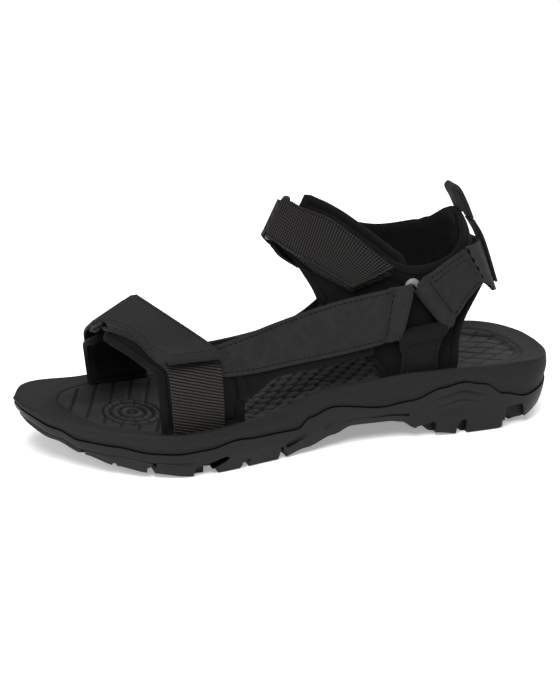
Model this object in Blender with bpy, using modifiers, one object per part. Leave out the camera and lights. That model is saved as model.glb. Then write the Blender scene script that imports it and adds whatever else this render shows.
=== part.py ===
"""Strappy sport sandal for the left foot, in metres.

+X points to the toe, +Y to the outer side of the foot and +Z up. The origin is the middle of the
sole's box, on the ground. The tables below are in millimetres. A strap is a list of rows, each row
holding the strap's front or top edge and its rear or bottom edge, on the strap's outer face.
"""

import math

import bmesh
import bpy
from mathutils import Vector

NAME = "sport_sandal"
MM = 0.001

# Sole, in millimetres. The outline is given as (place from heel 0 to toe 1, distance from the axis).
SOLE_LENGTH = 294.0
HALF_STEPS = 34
OUTER_EDGE = ((0, 0), (0.008, 18), (0.04, 32.9), (0.11, 39.9), (0.25, 41), (0.42, 39.4), (0.55, 44.4),
              (0.68, 52.5), (0.78, 51.5), (0.88, 35.8), (0.95, 17.3), (0.99, 2), (1, -14))
INNER_EDGE = ((0, 0), (0.008, -18), (0.045, -32.9), (0.13, -38.9), (0.3, -38.5), (0.45, -39),
              (0.58, -46), (0.7, -52.5), (0.8, -52.5), (0.9, -47), (0.97, -34), (1, -14))
RIM_HEIGHT = ((-147, 35.8), (-118, 38), (-59, 38.8), (-15, 35.3), (29, 26.2), (65, 24.2), (103, 25.2),
              (147, 30.9))
GROUND_LINE = ((-147, 14), (-138, 9), (-122, 3.6), (-108, 0), (-86, 0), (-72, 2), (-60, 6), (-52, 10.5),
               (-46, 11.5), (-24, 11.5), (-14, 8), (2, 3.4), (18, 0), (65, 0), (89, 3), (104, 5.5),
               (118, 9.5), (131, 14.5), (147, 21))
WAVE_LINE = ((-147, 22), (-124, 17.6), (-110, 21), (-98, 28), (-86, 30.3), (-74, 28.4), (-57, 23),
             (-40, 21), (-12, 24.5), (1, 21), (8, 15.8), (32, 16), (43, 17), (59, 14.5), (74, 13.7),
             (88, 14.4), (105, 17), (121, 18), (131, 22), (147, 27.5))
RIM_WIDTH = 7.0
RIM_ROUND = 1.2
RIM_DROP = 2.0
RIM_DROP_SHARE = 0.1
SOLE_FLARE = 3.0
TREAD_CHAMFER = 1.3
WAVE_INSET = 0.6
JOINT_INSET = 5.0
LEAST_WALL = 3.2
WELL_SHARE = 0.40
DISH_SHARE = 0.13
JOINT_SHARE = 0.35
TREAD_GROOVES = ((88, 5), (57, 11), (38, 5), (16, 4), (-66, 6), (-86, 5), (-114, 8))
TREAD_DEPTH = 3.6
CUTTER_SIZE = (140.0, 12.0)
GAP = 0.3

# Straps, in millimetres.
WEBBING = 2.0
TAB = 1.6
ANCHOR = 1.5
NUBUCK = 1.6
SLING = 1.5
NEOPRENE = 3.0
PATCH = 1.0
LINING_GAP = 0.4
SIDE_LINING_DROP = 3.5
RING_CORNER = 2.2
RING_CLEARANCE = 0.8
LAYER_GAP = 0.55
TAPE = 1.5
COLLAR = 5.0
RING_BAR = 1.45
TRIANGLE_BAR = 1.7
BAR_SPACING = 9.5
TAB_LIFT = WEBBING + 2 * PATCH + 3 * LAYER_GAP
HOOK_LIFT = 2 * (PATCH + LAYER_GAP)
LOOP_LIFT = PATCH + LAYER_GAP
TAB_START = 1.9
TAIL_STRAIGHT = 3.0
TAIL_GAP = 0.7
ANCHOR_INSET = 1.8

FOREFOOT_STRAP = (((75, 44.5, 23.6), (48, 43.5, 23.6)), ((76.5, 46, 42), (49, 45.3, 42)),
                  ((78, 43.5, 57), (50.5, 43, 57)), ((83, 30.4, 60.6), (56.6, 28.4, 63.6)),
                  ((88.6, 14.5, 65.3), (68.8, 10.5, 71.4)), ((99.7, -6.9, 66), (76.8, -18.9, 73.8)))
FOREFOOT_NORMAL = (0.328, -0.012, 0.944)
FOREFOOT_ANCHOR = (((101, -43, 25.2), (74, -47, 24.6)), ((101.5, -42.5, 42), (74.5, -47, 42)),
                   ((104, -33, 56), (79, -41.5, 61)))
FOREFOOT_LEAN = 0.35
FOREFOOT_TAB_ROWS = 10
ANKLE_TAB_ROWS = 16
STRAP_ROWS = 17
ANKLE_STRAP = (((-25.5, 27, 84), (-49.9, 23.2, 91.5)), ((-7, 20.7, 95.4), (-22.8, 6.7, 113.6)),
               ((1.6, 9.5, 102.4), (-11.6, 1.3, 121)), ((7, -3.6, 106.6), (-3.7, -6.1, 125.7)))
ANKLE_NORMAL = (0.82, 0.29, 0.5)
ANKLE_LEAN = 0.5
ANKLE_ANCHOR = (((-20, -31, 84.5), (-42, -30, 97)), ((-3, -28.5, 93), (-20, -29.5, 110)),
                ((7, -23.5, 102.4), (-5.5, -25.7, 118.3)))
SIDE_STRAP = (((49, 39.5, 66.5), (46.5, 44.3, 50)), ((34, 40.5, 71), (30, 43.6, 50.2)),
              ((12, 37.5, 76), (12, 41.8, 51.5)), ((-18, 33.2, 81), (-18, 38, 53)))
# On the inner side the strap lies low along the arch and rises to its ring.
INNER_SIDE_STRAP = (((66, 45.5, 38.5), (64, 47.2, 26.5)), ((40, 42.3, 40.5), (40, 44.6, 27.5)),
                    ((10, 38, 45), (13, 40.6, 31)), ((-14, 34.8, 52.5), (-9, 37.6, 37)),
                    ((-33, 32, 67), (-23, 35, 46)))
TRIANGLE = ((-58.3, 29, 89.2), (-49.8, 30.5, 55.6), (-82.5, 29.5, 59))
CORNER_ROUND = 2.6
SLING_STRAP = (((-52, 34.8, 38.6), (-73, 34.8, 38.8)), ((-52.2, 34.9, 47), (-73.6, 34.5, 49)))
SLING_LINING = (((-48.5, 31.4, 38.3), (-86, 31, 38.3)), ((-49, 27.6, 48), (-87.5, 27.2, 48)),
                ((-50, 24.6, 58), (-88.5, 24.4, 58)), ((-52, 23.6, 71), (-86, 23.6, 66)))
HEEL_STRAP = (((-91, 25.5, 100), (-103, 24, 80.5)), ((-77, 30, 94.5), (-91, 29.6, 72)))
HEEL_WEBBING = (((-92.6, 24.4, 101), (-104.4, 23, 80)), ((-101.5, 16.5, 100), (-113, 17, 73)),
                ((-109.5, 0, 98), (-119.5, 0, 69.5)))
HEEL_COLLAR = (((-55, 24.2, 92), (-57, 24.2, 78)), ((-76, 24, 94.7), (-84, 23.8, 73)),
               ((-89, 19.5, 103), (-97, 18.5, 77)), ((-94, 10, 114), (-102, 10, 85)),
               ((-95, 0, 118), (-101.5, 0, 92)))
INNER_COLLAR = (((-94, 10, 114.5), (-102, 10, 85)), ((-89, 20.2, 107.5), (-97, 18.5, 77)),
                ((-76, 24.6, 103.5), (-84, 23.8, 74)), ((-55, 24.6, 104), (-57, 24.2, 79)))
# The stretch of a ring's leg that each strap passes round, as shares of the leg from its first
# corner, and how far each of the strap's edges draws in there.
SIDE_LEG, SIDE_PINCH = (0.08, 0.97), (5.6, 5.6)
SLING_LEG, SLING_PINCH = (0.04, 0.76), (5, 1)
HEEL_LEG, HEEL_PINCH = (0.07, 0.84), (5.6, 2.5)
SIDE_LINING_START, SIDE_LINING_INSET = 0.05, 1
# How many rows each band is made of, and how many of a looped strap's rows lie folded back.
SIDE_ROWS, SIDE_BACK, SIDE_LINING_ROWS = 14, 1, 10
SLING_ROWS, SLING_BACK, SLING_LINING_ROWS = 6, 2, 8
HEEL_ROWS, HEEL_BACK = 8, 2
WEBBING_ROWS, COLLAR_ROWS, TAPE_ROWS, LOOP_ROWS = 15, 22, 7, 14
# How far each lining reaches past its strap's edges, and how deep it lies below the inner straps.
FOREFOOT_FRONT = 6.5
FOREFOOT_REAR = [10, 10, 10, 8] + 12 * [-1.5]
FOREFOOT_INNER_FRONT = 5
ANKLE_FRONT = [14 - 0.7 * i for i in range(STRAP_ROWS - 1)]
ANKLE_REAR = 3
ANKLE_INNER_FRONT = [12, 11, 9, 7, 5, 4, 3, 2, 2, 2]
INNER_REAR = 3
INNER_SINK = [-2.3, -2.3, -2.6, -3.4, -4.4, -5.4, -6.4, -7.2, -7.8, -8]
PULL_WIDTH = 11.0
PULL_TAPE = ((-120.3, 73.5), (-111.6, 98.5), (-104.6, 110))
PULL_LOOP = ((-104.3, 110.6), (-100.5, 120), (-96, 127.8), (-92, 130.4), (-88.8, 127.6), (-90.2, 120.6))


def clear_scene():
    for old in list(bpy.data.objects):
        bpy.data.objects.remove(old, do_unlink=True)


def collection(name):
    made = bpy.data.collections.new(name)
    bpy.context.scene.collection.children.link(made)
    return made


def finish(name, colour, roughness):
    """A plain dielectric material."""
    material = bpy.data.materials.new(name)
    material.use_nodes = True
    shader = material.node_tree.nodes["Principled BSDF"]
    shader.inputs["Base Color"].default_value = (*colour, 1)
    shader.inputs["Roughness"].default_value = roughness
    shader.inputs["Metallic"].default_value = 0
    return material


def place(name, data, material, group):
    """Links a new object for the mesh or curve, with its own copy of the finish."""
    obj = bpy.data.objects.new(name, data)
    own = material.copy()
    own.name = name + "_finish"
    data.materials.append(own)
    group.objects.link(obj)
    return obj


# Smooth lines through hand-set points.


def through(points, place_on):
    """A point on the Catmull-Rom curve through the points, at a place from 0 to len(points) - 1."""
    last = len(points) - 1
    i = min(int(place_on), last - 1)
    t = place_on - i
    before = points[i - 1] if i > 0 else 2 * points[0] - points[1]
    after = points[i + 2] if i + 2 <= last else 2 * points[last] - points[last - 1]
    p, q = points[i], points[i + 1]
    return 0.5 * (2 * p + (q - before) * t + (2 * before - 5 * p + 4 * q - after) * t**2
                  + (3 * p - before - 3 * q + after) * t**3)


def evenly(points, count):
    """The curve through the points, as count points at equal distances along it."""
    fine = [through(points, k * (len(points) - 1) / 400) for k in range(401)]
    walked = [0.0]
    for before, after in zip(fine, fine[1:]):
        walked.append(walked[-1] + (after - before).length)
    result = []
    k = 0
    for i in range(count):
        wanted = walked[-1] * i / (count - 1)
        while k < 399 and walked[k + 1] < wanted:
            k += 1
        share = (wanted - walked[k]) / max(walked[k + 1] - walked[k], 1e-9)
        result.append(fine[k].lerp(fine[k + 1], min(max(share, 0), 1)))
    return result


def height(table, x):
    """The height at x on the line through the table, eased between its points."""
    if x <= table[0][0]:
        return table[0][1]
    for (x0, z0), (x1, z1) in zip(table, table[1:]):
        if x <= x1:
            t = (x - x0) / (x1 - x0)
            return z0 + (z1 - z0) * t * t * (3 - 2 * t)
    return table[-1][1]


# The sole.


def sole_outline():
    """Both halves of the outline, heel to toe and back, centred on the origin."""
    halves = []
    for edge in (OUTER_EDGE, INNER_EDGE):
        points = [Vector(((s - 0.5) * SOLE_LENGTH, y, 0)) for s, y in edge]
        halves.append(evenly(points, HALF_STEPS + 1))
    outer, inner = halves
    loop = outer + inner[-2:0:-1]
    middle_x = (min(p.x for p in loop) + max(p.x for p in loop)) / 2
    middle_y = (min(p.y for p in loop) + max(p.y for p in loop)) / 2
    return [p - Vector((middle_x, middle_y, 0)) for p in loop]


def ring(outline, inset, level):
    """The outline moved inwards, each point at the height that level gives for its x."""
    count = len(outline)
    result = []
    for i, point in enumerate(outline):
        along = (outline[(i + 1) % count] - outline[i - 1]).normalized()
        inwards = Vector((along.y, -along.x, 0))
        moved = point + inwards * inset
        result.append(Vector((moved.x, moved.y, level(moved.x))))
    return result


def thickness(x):
    return height(RIM_HEIGHT, x) - height(GROUND_LINE, x)


def ground(x):
    return height(GROUND_LINE, x)


def rim(x):
    return height(RIM_HEIGHT, x)


def rim_foot(x):
    """The inner edge of the rim, where the straps come out."""
    return rim(x) - min(RIM_DROP, RIM_DROP_SHARE * thickness(x))


def well_floor(x):
    return rim(x) - WELL_SHARE * thickness(x)


def wave(x):
    """The joint between the outsole and the midsole on the side wall."""
    return min(height(WAVE_LINE, x), rim(x) - LEAST_WALL)


def joint_plane(x):
    """The joint between the outsole and the midsole, inside the wall."""
    return ground(x) + JOINT_SHARE * thickness(x)


def loft(name, rings, material, group):
    """A closed body through the rings, with flat strips across the first and the last."""
    bm = bmesh.new()
    rows = [[bm.verts.new(p * MM) for p in points] for points in rings]
    count = len(rows[0])
    half = count // 2
    for here, there in zip(rows, rows[1:]):
        for i in range(count):
            j = (i + 1) % count
            bm.faces.new((here[i], here[j], there[j]))
            bm.faces.new((here[i], there[j], there[i]))
    for row in (rows[0], rows[-1]):
        bm.faces.new((row[0], row[1], row[-1]))
        bm.faces.new((row[half - 1], row[half], row[half + 1]))
        for i in range(1, half - 1):
            bm.faces.new((row[i], row[i + 1], row[-i - 1]))
            bm.faces.new((row[i], row[-i - 1], row[-i]))
    bmesh.ops.recalc_face_normals(bm, faces=bm.faces)
    mesh = bpy.data.meshes.new(name)
    bm.to_mesh(mesh)
    bm.free()
    return place(name, mesh, material, group)


def tread_cutter(group):
    """One box for each groove across the tread."""
    bm = bmesh.new()
    for x, width in TREAD_GROOVES:
        top = ground(x) + TREAD_DEPTH
        box = bmesh.ops.create_cube(bm, size=1)["verts"]
        bmesh.ops.scale(bm, vec=Vector((width, *CUTTER_SIZE)) * MM, verts=box)
        bmesh.ops.translate(bm, vec=Vector((x, 0, top - CUTTER_SIZE[1] / 2)) * MM, verts=box)
    mesh = bpy.data.meshes.new("tread_cutter")
    bm.to_mesh(mesh)
    bm.free()
    cutter = bpy.data.objects.new("tread_cutter", mesh)
    cutter.hide_render = True
    cutter.display_type = "WIRE"
    group.objects.link(cutter)
    return cutter


def build_sole(looks, group, cutters):
    outline = sole_outline()
    outsole = loft("outsole", [
        ring(outline, SOLE_FLARE + TREAD_CHAMFER, ground),
        ring(outline, SOLE_FLARE, lambda x: ground(x) + TREAD_CHAMFER),
        ring(outline, WAVE_INSET, lambda x: wave(x) - GAP / 2),
        ring(outline, JOINT_INSET, lambda x: joint_plane(x) - GAP / 2),
    ], looks["rubber"], group)
    cut = outsole.modifiers.new("tread", "BOOLEAN")
    cut.operation = "DIFFERENCE"
    cut.object = tread_cutter(cutters)
    loft("midsole", [
        ring(outline, RIM_WIDTH, well_floor),
        ring(outline, RIM_WIDTH, rim_foot),
        ring(outline, RIM_ROUND, rim),
        ring(outline, 0, lambda x: rim(x) - RIM_ROUND),
        ring(outline, WAVE_INSET, lambda x: wave(x) + GAP / 2),
        ring(outline, JOINT_INSET + GAP, lambda x: joint_plane(x) + GAP / 2),
    ], looks["foam"], group)
    loft("footbed", [
        ring(outline, 2 * RIM_WIDTH, lambda x: rim(x) - DISH_SHARE * thickness(x)),
        ring(outline, RIM_WIDTH + GAP, lambda x: rim_foot(x) - 0.2),
        ring(outline, RIM_WIDTH + GAP, lambda x: well_floor(x) + GAP),
    ], looks["footbed"], group)


# Straps.


def rows_of(table, mirrored=False):
    """The table's rows as pairs of points, on the inner side of the foot if mirrored."""
    side = -1 if mirrored else 1
    return [tuple(Vector((x, y * side, z)) for x, y, z in row) for row in table]


def spaced(rows, count, start=0.0, stop=1.0):
    """Rows at equal distances along the strap, from start to stop as shares of its length."""
    fine = []
    for k in range(401):
        place_on = k * (len(rows) - 1) / 400
        fine.append((through([a for a, b in rows], place_on), through([b for a, b in rows], place_on)))
    walked = [0.0]
    for (a0, b0), (a1, b1) in zip(fine, fine[1:]):
        walked.append(walked[-1] + (a1 + b1 - a0 - b0).length / 2)
    result = []
    for i in range(count):
        wanted = walked[-1] * (start + (stop - start) * i / (count - 1))
        k = min(range(401), key=lambda n: abs(walked[n] - wanted))
        result.append(fine[k])
    return result


def outward_normals(rows):
    """One unit normal for each row, all on the side of the strap that faces away from the foot."""
    mids = [(a + b) / 2 for a, b in rows]
    normals = []
    for i, (a, b) in enumerate(rows):
        along = mids[min(i + 1, len(rows) - 1)] - mids[max(i - 1, 0)]
        normals.append((b - a).cross(along).normalized())
    middle = mids[0]
    inside = Vector((max(-60, min(60, middle.x)), 0, 50))
    side = 1 if normals[0].dot(middle - inside) > 0 else -1
    return [normal * side for normal in normals]


def lifted(rows, lifts):
    """The rows moved along their normals, by one lift for all or one for each row."""
    if not isinstance(lifts, (list, tuple)):
        lifts = [lifts] * len(rows)
    moved = []
    for (a, b), normal, lift in zip(rows, outward_normals(rows), lifts):
        moved.append((a + normal * lift, b + normal * lift))
    return moved


def widened(rows, first, second):
    """The rows with their edges moved outwards, by one amount for all or one for each row."""
    result = []
    for i, (a, b) in enumerate(rows):
        across = (b - a).normalized()
        grow_a = first[i] if isinstance(first, (list, tuple)) else first
        grow_b = second[i] if isinstance(second, (list, tuple)) else second
        result.append((a - across * grow_a, b + across * grow_b))
    return result


def sheet(name, rows, thick, material, group, inner_face=False):
    """A strap's solid. Its rows are on the outer face, or on the inner face if inner_face is set."""
    outwards = outward_normals(rows)[0] * (-1 if inner_face else 1)
    bm = bmesh.new()
    pairs = [[bm.verts.new(p * MM) for p in row] for row in rows]
    (a, b), (c, d) = rows[0], rows[1]
    turned = (b - a).cross(d - a).dot(outwards) < 0
    for (a, b), (c, d) in zip(pairs, pairs[1:]):
        for corners in ((a, b, d), (a, d, c)):
            bm.faces.new(tuple(reversed(corners)) if turned else corners)
    mesh = bpy.data.meshes.new(name)
    bm.to_mesh(mesh)
    bm.free()
    obj = place(name, mesh, material, group)
    shell = obj.modifiers.new("thickness", "SOLIDIFY")
    shell.thickness = thick * MM
    shell.offset = -1
    shell.use_even_offset = True
    return obj


def round_bar(rows, bar, radius, outwards, steps=6, pinch=(0, 0), tail=None):
    """Rows that carry the strap half round a bar, then to the tail row if there is one.

    The pinch narrows the strap's two edges where it passes through the ring.
    """
    a_end, b_end = bar
    axis = (b_end - a_end).normalized()
    up = (outwards - axis * outwards.dot(axis)).normalized()
    last_a, last_b = rows[-1]
    ahead = (a_end + b_end - last_a - last_b) / 2
    ahead = (ahead - axis * ahead.dot(axis) - up * ahead.dot(up)).normalized()
    turned = []
    for i in range(steps + 1):
        angle = math.pi * i / steps
        share = math.sin(min(angle, math.pi / 2))
        shift = (up * math.cos(angle) + ahead * math.sin(angle)) * radius
        turned.append((a_end + axis * pinch[0] * share + shift, b_end - axis * pinch[1] * share + shift))
    if tail:
        a_turned, b_turned = turned[-1]
        turned.append((a_turned - ahead * TAIL_STRAIGHT, b_turned - ahead * TAIL_STRAIGHT))
        turned.append(tail)
    return rows + turned


def looped(rows, bar, bar_radius, thick, outwards, count, back, pinch=(0, 0)):
    """A strap from its fixed end to a bar, round it and back inside itself by some rows."""
    radius = bar_radius + GAP + thick
    beside = tuple(point + outwards * radius for point in bar)
    run = spaced(rows + [beside], count)
    inside = lifted(run, -2 * thick - TAIL_GAP)[-1 - back]
    tail = widened([inside], -pinch[0], -pinch[1])[0]
    return round_bar(run[:-1], bar, radius, outwards, pinch=pinch, tail=tail)


def rounded_loop(corners, radius, steps=4):
    """A closed loop of points through the corners, each rounded off with an arc."""
    points = []
    count = len(corners)
    for i, corner in enumerate(corners):
        before = (corners[i - 1] - corner).normalized()
        after = (corners[(i + 1) % count] - corner).normalized()
        half = before.angle(after) / 2
        centre = corner + (before + after).normalized() * (radius / math.sin(half))
        start = (corner + before * (radius / math.tan(half)) - centre).normalized()
        stop = (corner + after * (radius / math.tan(half)) - centre).normalized()
        for k in range(steps + 1):
            points.append(centre + start.slerp(stop, k / steps) * radius)
    return points


def wire_ring(name, points, radius, material, group):
    """A closed ring of round bar."""
    curve = bpy.data.curves.new(name, "CURVE")
    curve.dimensions = "3D"
    curve.bevel_depth = radius * MM
    curve.bevel_resolution = 2
    line = curve.splines.new("POLY")
    line.points.add(len(points) - 1)
    for point, target in zip(line.points, points):
        point.co = (*(target * MM), 1)
    line.use_cyclic_u = True
    return place(name, curve, material, group)


def hinge(name, point, pieces, group):
    """An empty on a joint's axis that carries the moving pieces."""
    empty = bpy.data.objects.new(name, None)
    empty.empty_display_size = 0.01
    empty.location = point * MM
    group.objects.link(empty)
    for piece in pieces:
        piece.parent = empty
        piece.location = -empty.location


def build_closure(prefix, guide, normal, leaning, anchor, tab_rows, looks, group):
    """A strap that passes round the free bar of a ring and folds back on itself.

    The guide is the webbing's outer face, from its fixed end to the ring, and the anchor's rows
    run from its fixed end on the inner side of the foot up towards the ring. It gives back the
    rows of both, for the linings under them.
    """
    base = spaced(guide, STRAP_ROWS)
    end_a, end_b = base[-1]
    up = Vector(normal).normalized()
    across = (end_b - end_a).normalized()
    ahead = across.cross(up)
    ahead = -ahead if ahead.y > 0 else ahead

    # The free bar lies between the two layers of webbing.
    bar_lift = up * (TAB_LIFT - WEBBING) / 2
    free_bar = (end_a + bar_lift, end_b + bar_lift)
    wrap = RING_BAR + GAP + WEBBING
    strap = round_bar(lifted(base, -WEBBING)[:-1], free_bar, wrap, -up)
    sheet(prefix + "_webbing", strap, WEBBING, looks["webbing"], group, inner_face=True)

    # The folded end starts beside the top of the bar, clear of the webbing's turn.
    to_start = up * TAB_LIFT - ahead * TAB_START
    start = (end_a + to_start, end_b + to_start)
    folded = [start] + lifted(base, TAB_LIFT)[-2:-tab_rows - 2:-1]
    tab = sheet(prefix + "_tab", folded, TAB, looks["webbing"], group)
    grip = slice(-tab_rows + 1, -3)
    hook_rows = widened(lifted(base, HOOK_LIFT)[grip], -1, -1)
    hook = sheet(prefix + "_hook_patch", hook_rows, PATCH, looks["hook"], group)
    loop_rows = widened(lifted(base, LOOP_LIFT)[grip], -1, -1)
    sheet(prefix + "_loop_patch", loop_rows, PATCH, looks["loop"], group)
    hinge(prefix + "_tab_hinge", (start[0] + start[1]) / 2, (tab, hook), group)

    # The ring leans down towards its anchored bar.
    lean = (ahead - up * leaning).normalized()
    clear = across * (RING_BAR + RING_CLEARANCE)
    drop = lean * BAR_SPACING
    corners = [free_bar[0] - clear, free_bar[1] + clear, free_bar[1] + clear + drop,
               free_bar[0] - clear + drop]
    wire_ring(prefix + "_ring", rounded_loop(corners, RING_CORNER, 3), RING_BAR, looks["plastic"], group)
    facing = across.cross(lean)
    facing = -facing if facing.dot(up) < 0 else facing
    fixed_bar = (free_bar[0] + drop + across * ANCHOR_INSET, free_bar[1] + drop - across * ANCHOR_INSET)
    climb = spaced(anchor + [tuple(p + facing * (RING_BAR + GAP + ANCHOR) for p in fixed_bar)], 10)
    rows = looped(anchor, fixed_bar, RING_BAR, ANCHOR, facing, 10, 2)
    sheet(prefix + "_anchor", rows, ANCHOR, looks["webbing"], group)
    return base, climb


def build_forefoot(looks, group):
    base, climb = build_closure("forefoot", rows_of(FOREFOOT_STRAP), FOREFOOT_NORMAL, FOREFOOT_LEAN,
                                rows_of(FOREFOOT_ANCHOR), FOREFOOT_TAB_ROWS, looks, group)
    # Behind the strap's foot the lining is broad, and above the side strap it is narrow.
    pad = widened(lifted(base, -WEBBING - LAYER_GAP)[:-1], FOREFOOT_FRONT, FOREFOOT_REAR)
    sheet("forefoot_lining_outer", pad, NEOPRENE, looks["neoprene"], group)
    pad = widened(lifted(climb, INNER_SINK), FOREFOOT_INNER_FRONT, INNER_REAR)
    sheet("forefoot_lining_inner", pad[:-1], NEOPRENE, looks["neoprene"], group)


def build_ankle(looks, group):
    base, climb = build_closure("ankle", rows_of(ANKLE_STRAP), ANKLE_NORMAL, ANKLE_LEAN,
                                rows_of(ANKLE_ANCHOR), ANKLE_TAB_ROWS, looks, group)
    pad = widened(lifted(base, -WEBBING - LAYER_GAP)[:-1], ANKLE_FRONT, ANKLE_REAR)
    sheet("ankle_lining_outer", pad, NEOPRENE, looks["neoprene"], group)
    pad = widened(lifted(climb, INNER_SINK), ANKLE_INNER_FRONT, INNER_REAR)
    sheet("ankle_lining_inner", pad[:-1], NEOPRENE, looks["neoprene"], group)


def bar_part(start, end, first, last):
    """The stretch of a triangle's leg from one share of its length to another."""
    return (start.lerp(end, first), start.lerp(end, last))


def build_side(suffix, mirrored, looks, group):
    """Everything that hangs on one triangle ring."""
    side = -1 if mirrored else 1
    out = Vector((0, side, 0))
    apex, front, rear = (Vector((x, y * side, z)) for x, y, z in TRIANGLE)
    wire_ring("triangle_ring_" + suffix, rounded_loop([apex, front, rear], CORNER_ROUND), TRIANGLE_BAR,
              looks["plastic"], group)

    rows = rows_of(INNER_SIDE_STRAP if mirrored else SIDE_STRAP, mirrored)
    bar = bar_part(apex, front, *SIDE_LEG)
    strap = looped(rows, bar, TRIANGLE_BAR, NUBUCK, out, SIDE_ROWS, SIDE_BACK, SIDE_PINCH)
    sheet("side_strap_" + suffix, strap, NUBUCK, looks["nubuck"], group)
    below = 0 if mirrored else SIDE_LINING_DROP
    pad = lifted(spaced(rows, SIDE_LINING_ROWS, SIDE_LINING_START, 1.0), -NUBUCK - LINING_GAP)
    pad = widened(pad, -SIDE_LINING_INSET, below)
    sheet("side_lining_" + suffix, pad, NEOPRENE, looks["neoprene"], group)

    rows = rows_of(SLING_STRAP, mirrored)
    bar = bar_part(front, rear, *SLING_LEG)
    strap = looped(rows, bar, TRIANGLE_BAR, SLING, out, SLING_ROWS, SLING_BACK, SLING_PINCH)
    sheet("sling_strap_" + suffix, strap, SLING, looks["nubuck"], group)
    sheet("sling_lining_" + suffix, spaced(rows_of(SLING_LINING, mirrored), SLING_LINING_ROWS), NEOPRENE,
          looks["neoprene"], group)

    rows = rows_of(HEEL_STRAP, mirrored)
    bar = bar_part(apex, rear, *HEEL_LEG)
    strap = looped(rows, bar, TRIANGLE_BAR, NUBUCK, out, HEEL_ROWS, HEEL_BACK, HEEL_PINCH)
    sheet("heel_strap_" + suffix, strap, NUBUCK, looks["nubuck"], group)


def full_round(table):
    """The rows of one side, carried on to the other side as their mirror image."""
    rows = rows_of(table)
    return rows + [tuple(Vector((p.x, -p.y, p.z)) for p in row) for row in reversed(rows[:-1])]


def tape_rows(line):
    """The rows of a narrow tape whose middle follows a line in the plane y = 0."""
    half = PULL_WIDTH / 2
    return [(Vector((x, half, z)), Vector((x, -half, z))) for x, z in line]


def build_heel(looks, group):
    sheet("heel_webbing", spaced(full_round(HEEL_WEBBING), WEBBING_ROWS), WEBBING, looks["webbing"], group)
    collar = rows_of(HEEL_COLLAR) + rows_of(INNER_COLLAR, True)
    sheet("heel_collar", spaced(collar, COLLAR_ROWS), COLLAR, looks["neoprene"], group)
    sheet("heel_tape", spaced(tape_rows(PULL_TAPE), TAPE_ROWS), TAPE, looks["webbing"], group)
    loop = sheet("pull_loop", spaced(tape_rows(PULL_LOOP), LOOP_ROWS), TAPE, looks["webbing"], group)
    x, z = PULL_LOOP[0]
    hinge("pull_loop_hinge", Vector((x, 0, z)), (loop,), group)


def main():
    clear_scene()
    group = collection(NAME)
    cutters = collection(NAME + "_cutters")
    looks = {
        "rubber": finish("rubber", (0.012, 0.012, 0.013), 0.62),
        "foam": finish("foam", (0.015, 0.015, 0.016), 0.75),
        "footbed": finish("footbed", (0.013, 0.013, 0.014), 0.8),
        "nubuck": finish("nubuck", (0.02, 0.02, 0.021), 0.9),
        "webbing": finish("webbing", (0.014, 0.013, 0.012), 0.8),
        "neoprene": finish("neoprene", (0.012, 0.012, 0.013), 0.95),
        "plastic": finish("plastic", (0.05, 0.05, 0.053), 0.45),
        "hook": finish("hook", (0.015, 0.015, 0.015), 0.7),
        "loop": finish("loop", (0.018, 0.018, 0.018), 0.98),
    }
    build_sole(looks, group, cutters)
    build_forefoot(looks, group)
    build_ankle(looks, group)
    build_side("outer", False, looks, group)
    build_side("inner", True, looks, group)
    build_heel(looks, group)


main()
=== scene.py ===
"""The look of a strappy sport sandal for the left foot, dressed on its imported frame.

Lengths in the tables are in millimetres. +X points to the toe, +Y to the outer side of the foot
and +Z up. A strap is a list of rows, each holding the strap's front or top edge and its rear or
bottom edge, on the strap's outer face.
"""

import math

import bmesh
import bpy
import numpy as np
from mathutils import Matrix, Vector


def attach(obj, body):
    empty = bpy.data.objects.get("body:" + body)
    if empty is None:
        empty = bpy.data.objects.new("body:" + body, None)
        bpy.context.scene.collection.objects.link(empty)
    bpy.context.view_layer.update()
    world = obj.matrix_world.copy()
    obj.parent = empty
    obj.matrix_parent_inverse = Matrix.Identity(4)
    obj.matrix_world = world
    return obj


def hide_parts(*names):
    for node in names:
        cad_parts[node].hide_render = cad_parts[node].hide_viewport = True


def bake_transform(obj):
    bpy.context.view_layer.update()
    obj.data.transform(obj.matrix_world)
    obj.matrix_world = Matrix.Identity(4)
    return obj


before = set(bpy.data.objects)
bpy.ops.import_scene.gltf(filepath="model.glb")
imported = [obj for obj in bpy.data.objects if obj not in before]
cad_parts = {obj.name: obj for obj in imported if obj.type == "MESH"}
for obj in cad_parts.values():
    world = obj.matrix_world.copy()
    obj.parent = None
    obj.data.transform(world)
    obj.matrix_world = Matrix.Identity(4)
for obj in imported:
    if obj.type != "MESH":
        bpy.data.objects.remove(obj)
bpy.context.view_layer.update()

MM = 0.001
UP = Vector((0, 0, 1))

# The sole, as in the frame.
SOLE_LENGTH = 294.0
HALF_STEPS = 150
OUTER_EDGE = ((0, 0), (0.008, 18), (0.04, 32.9), (0.11, 39.9), (0.25, 41), (0.42, 39.4), (0.55, 44.4),
              (0.68, 52.5), (0.78, 51.5), (0.88, 35.8), (0.95, 17.3), (0.99, 2), (1, -14))
INNER_EDGE = ((0, 0), (0.008, -18), (0.045, -32.9), (0.13, -38.9), (0.3, -38.5), (0.45, -39),
              (0.58, -46), (0.7, -52.5), (0.8, -52.5), (0.9, -47), (0.97, -34), (1, -14))
RIM_HEIGHT = ((-147, 35.8), (-118, 38), (-59, 38.8), (-15, 35.3), (29, 26.2), (65, 24.2), (103, 25.2),
              (147, 30.9))
GROUND_LINE = ((-147, 14), (-138, 9), (-122, 3.6), (-108, 0), (-86, 0), (-72, 2), (-60, 6), (-52, 10.5),
               (-46, 11.5), (-24, 11.5), (-14, 8), (2, 3.4), (18, 0), (65, 0), (89, 3), (104, 5.5),
               (118, 9.5), (131, 14.5), (147, 21))
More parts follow.
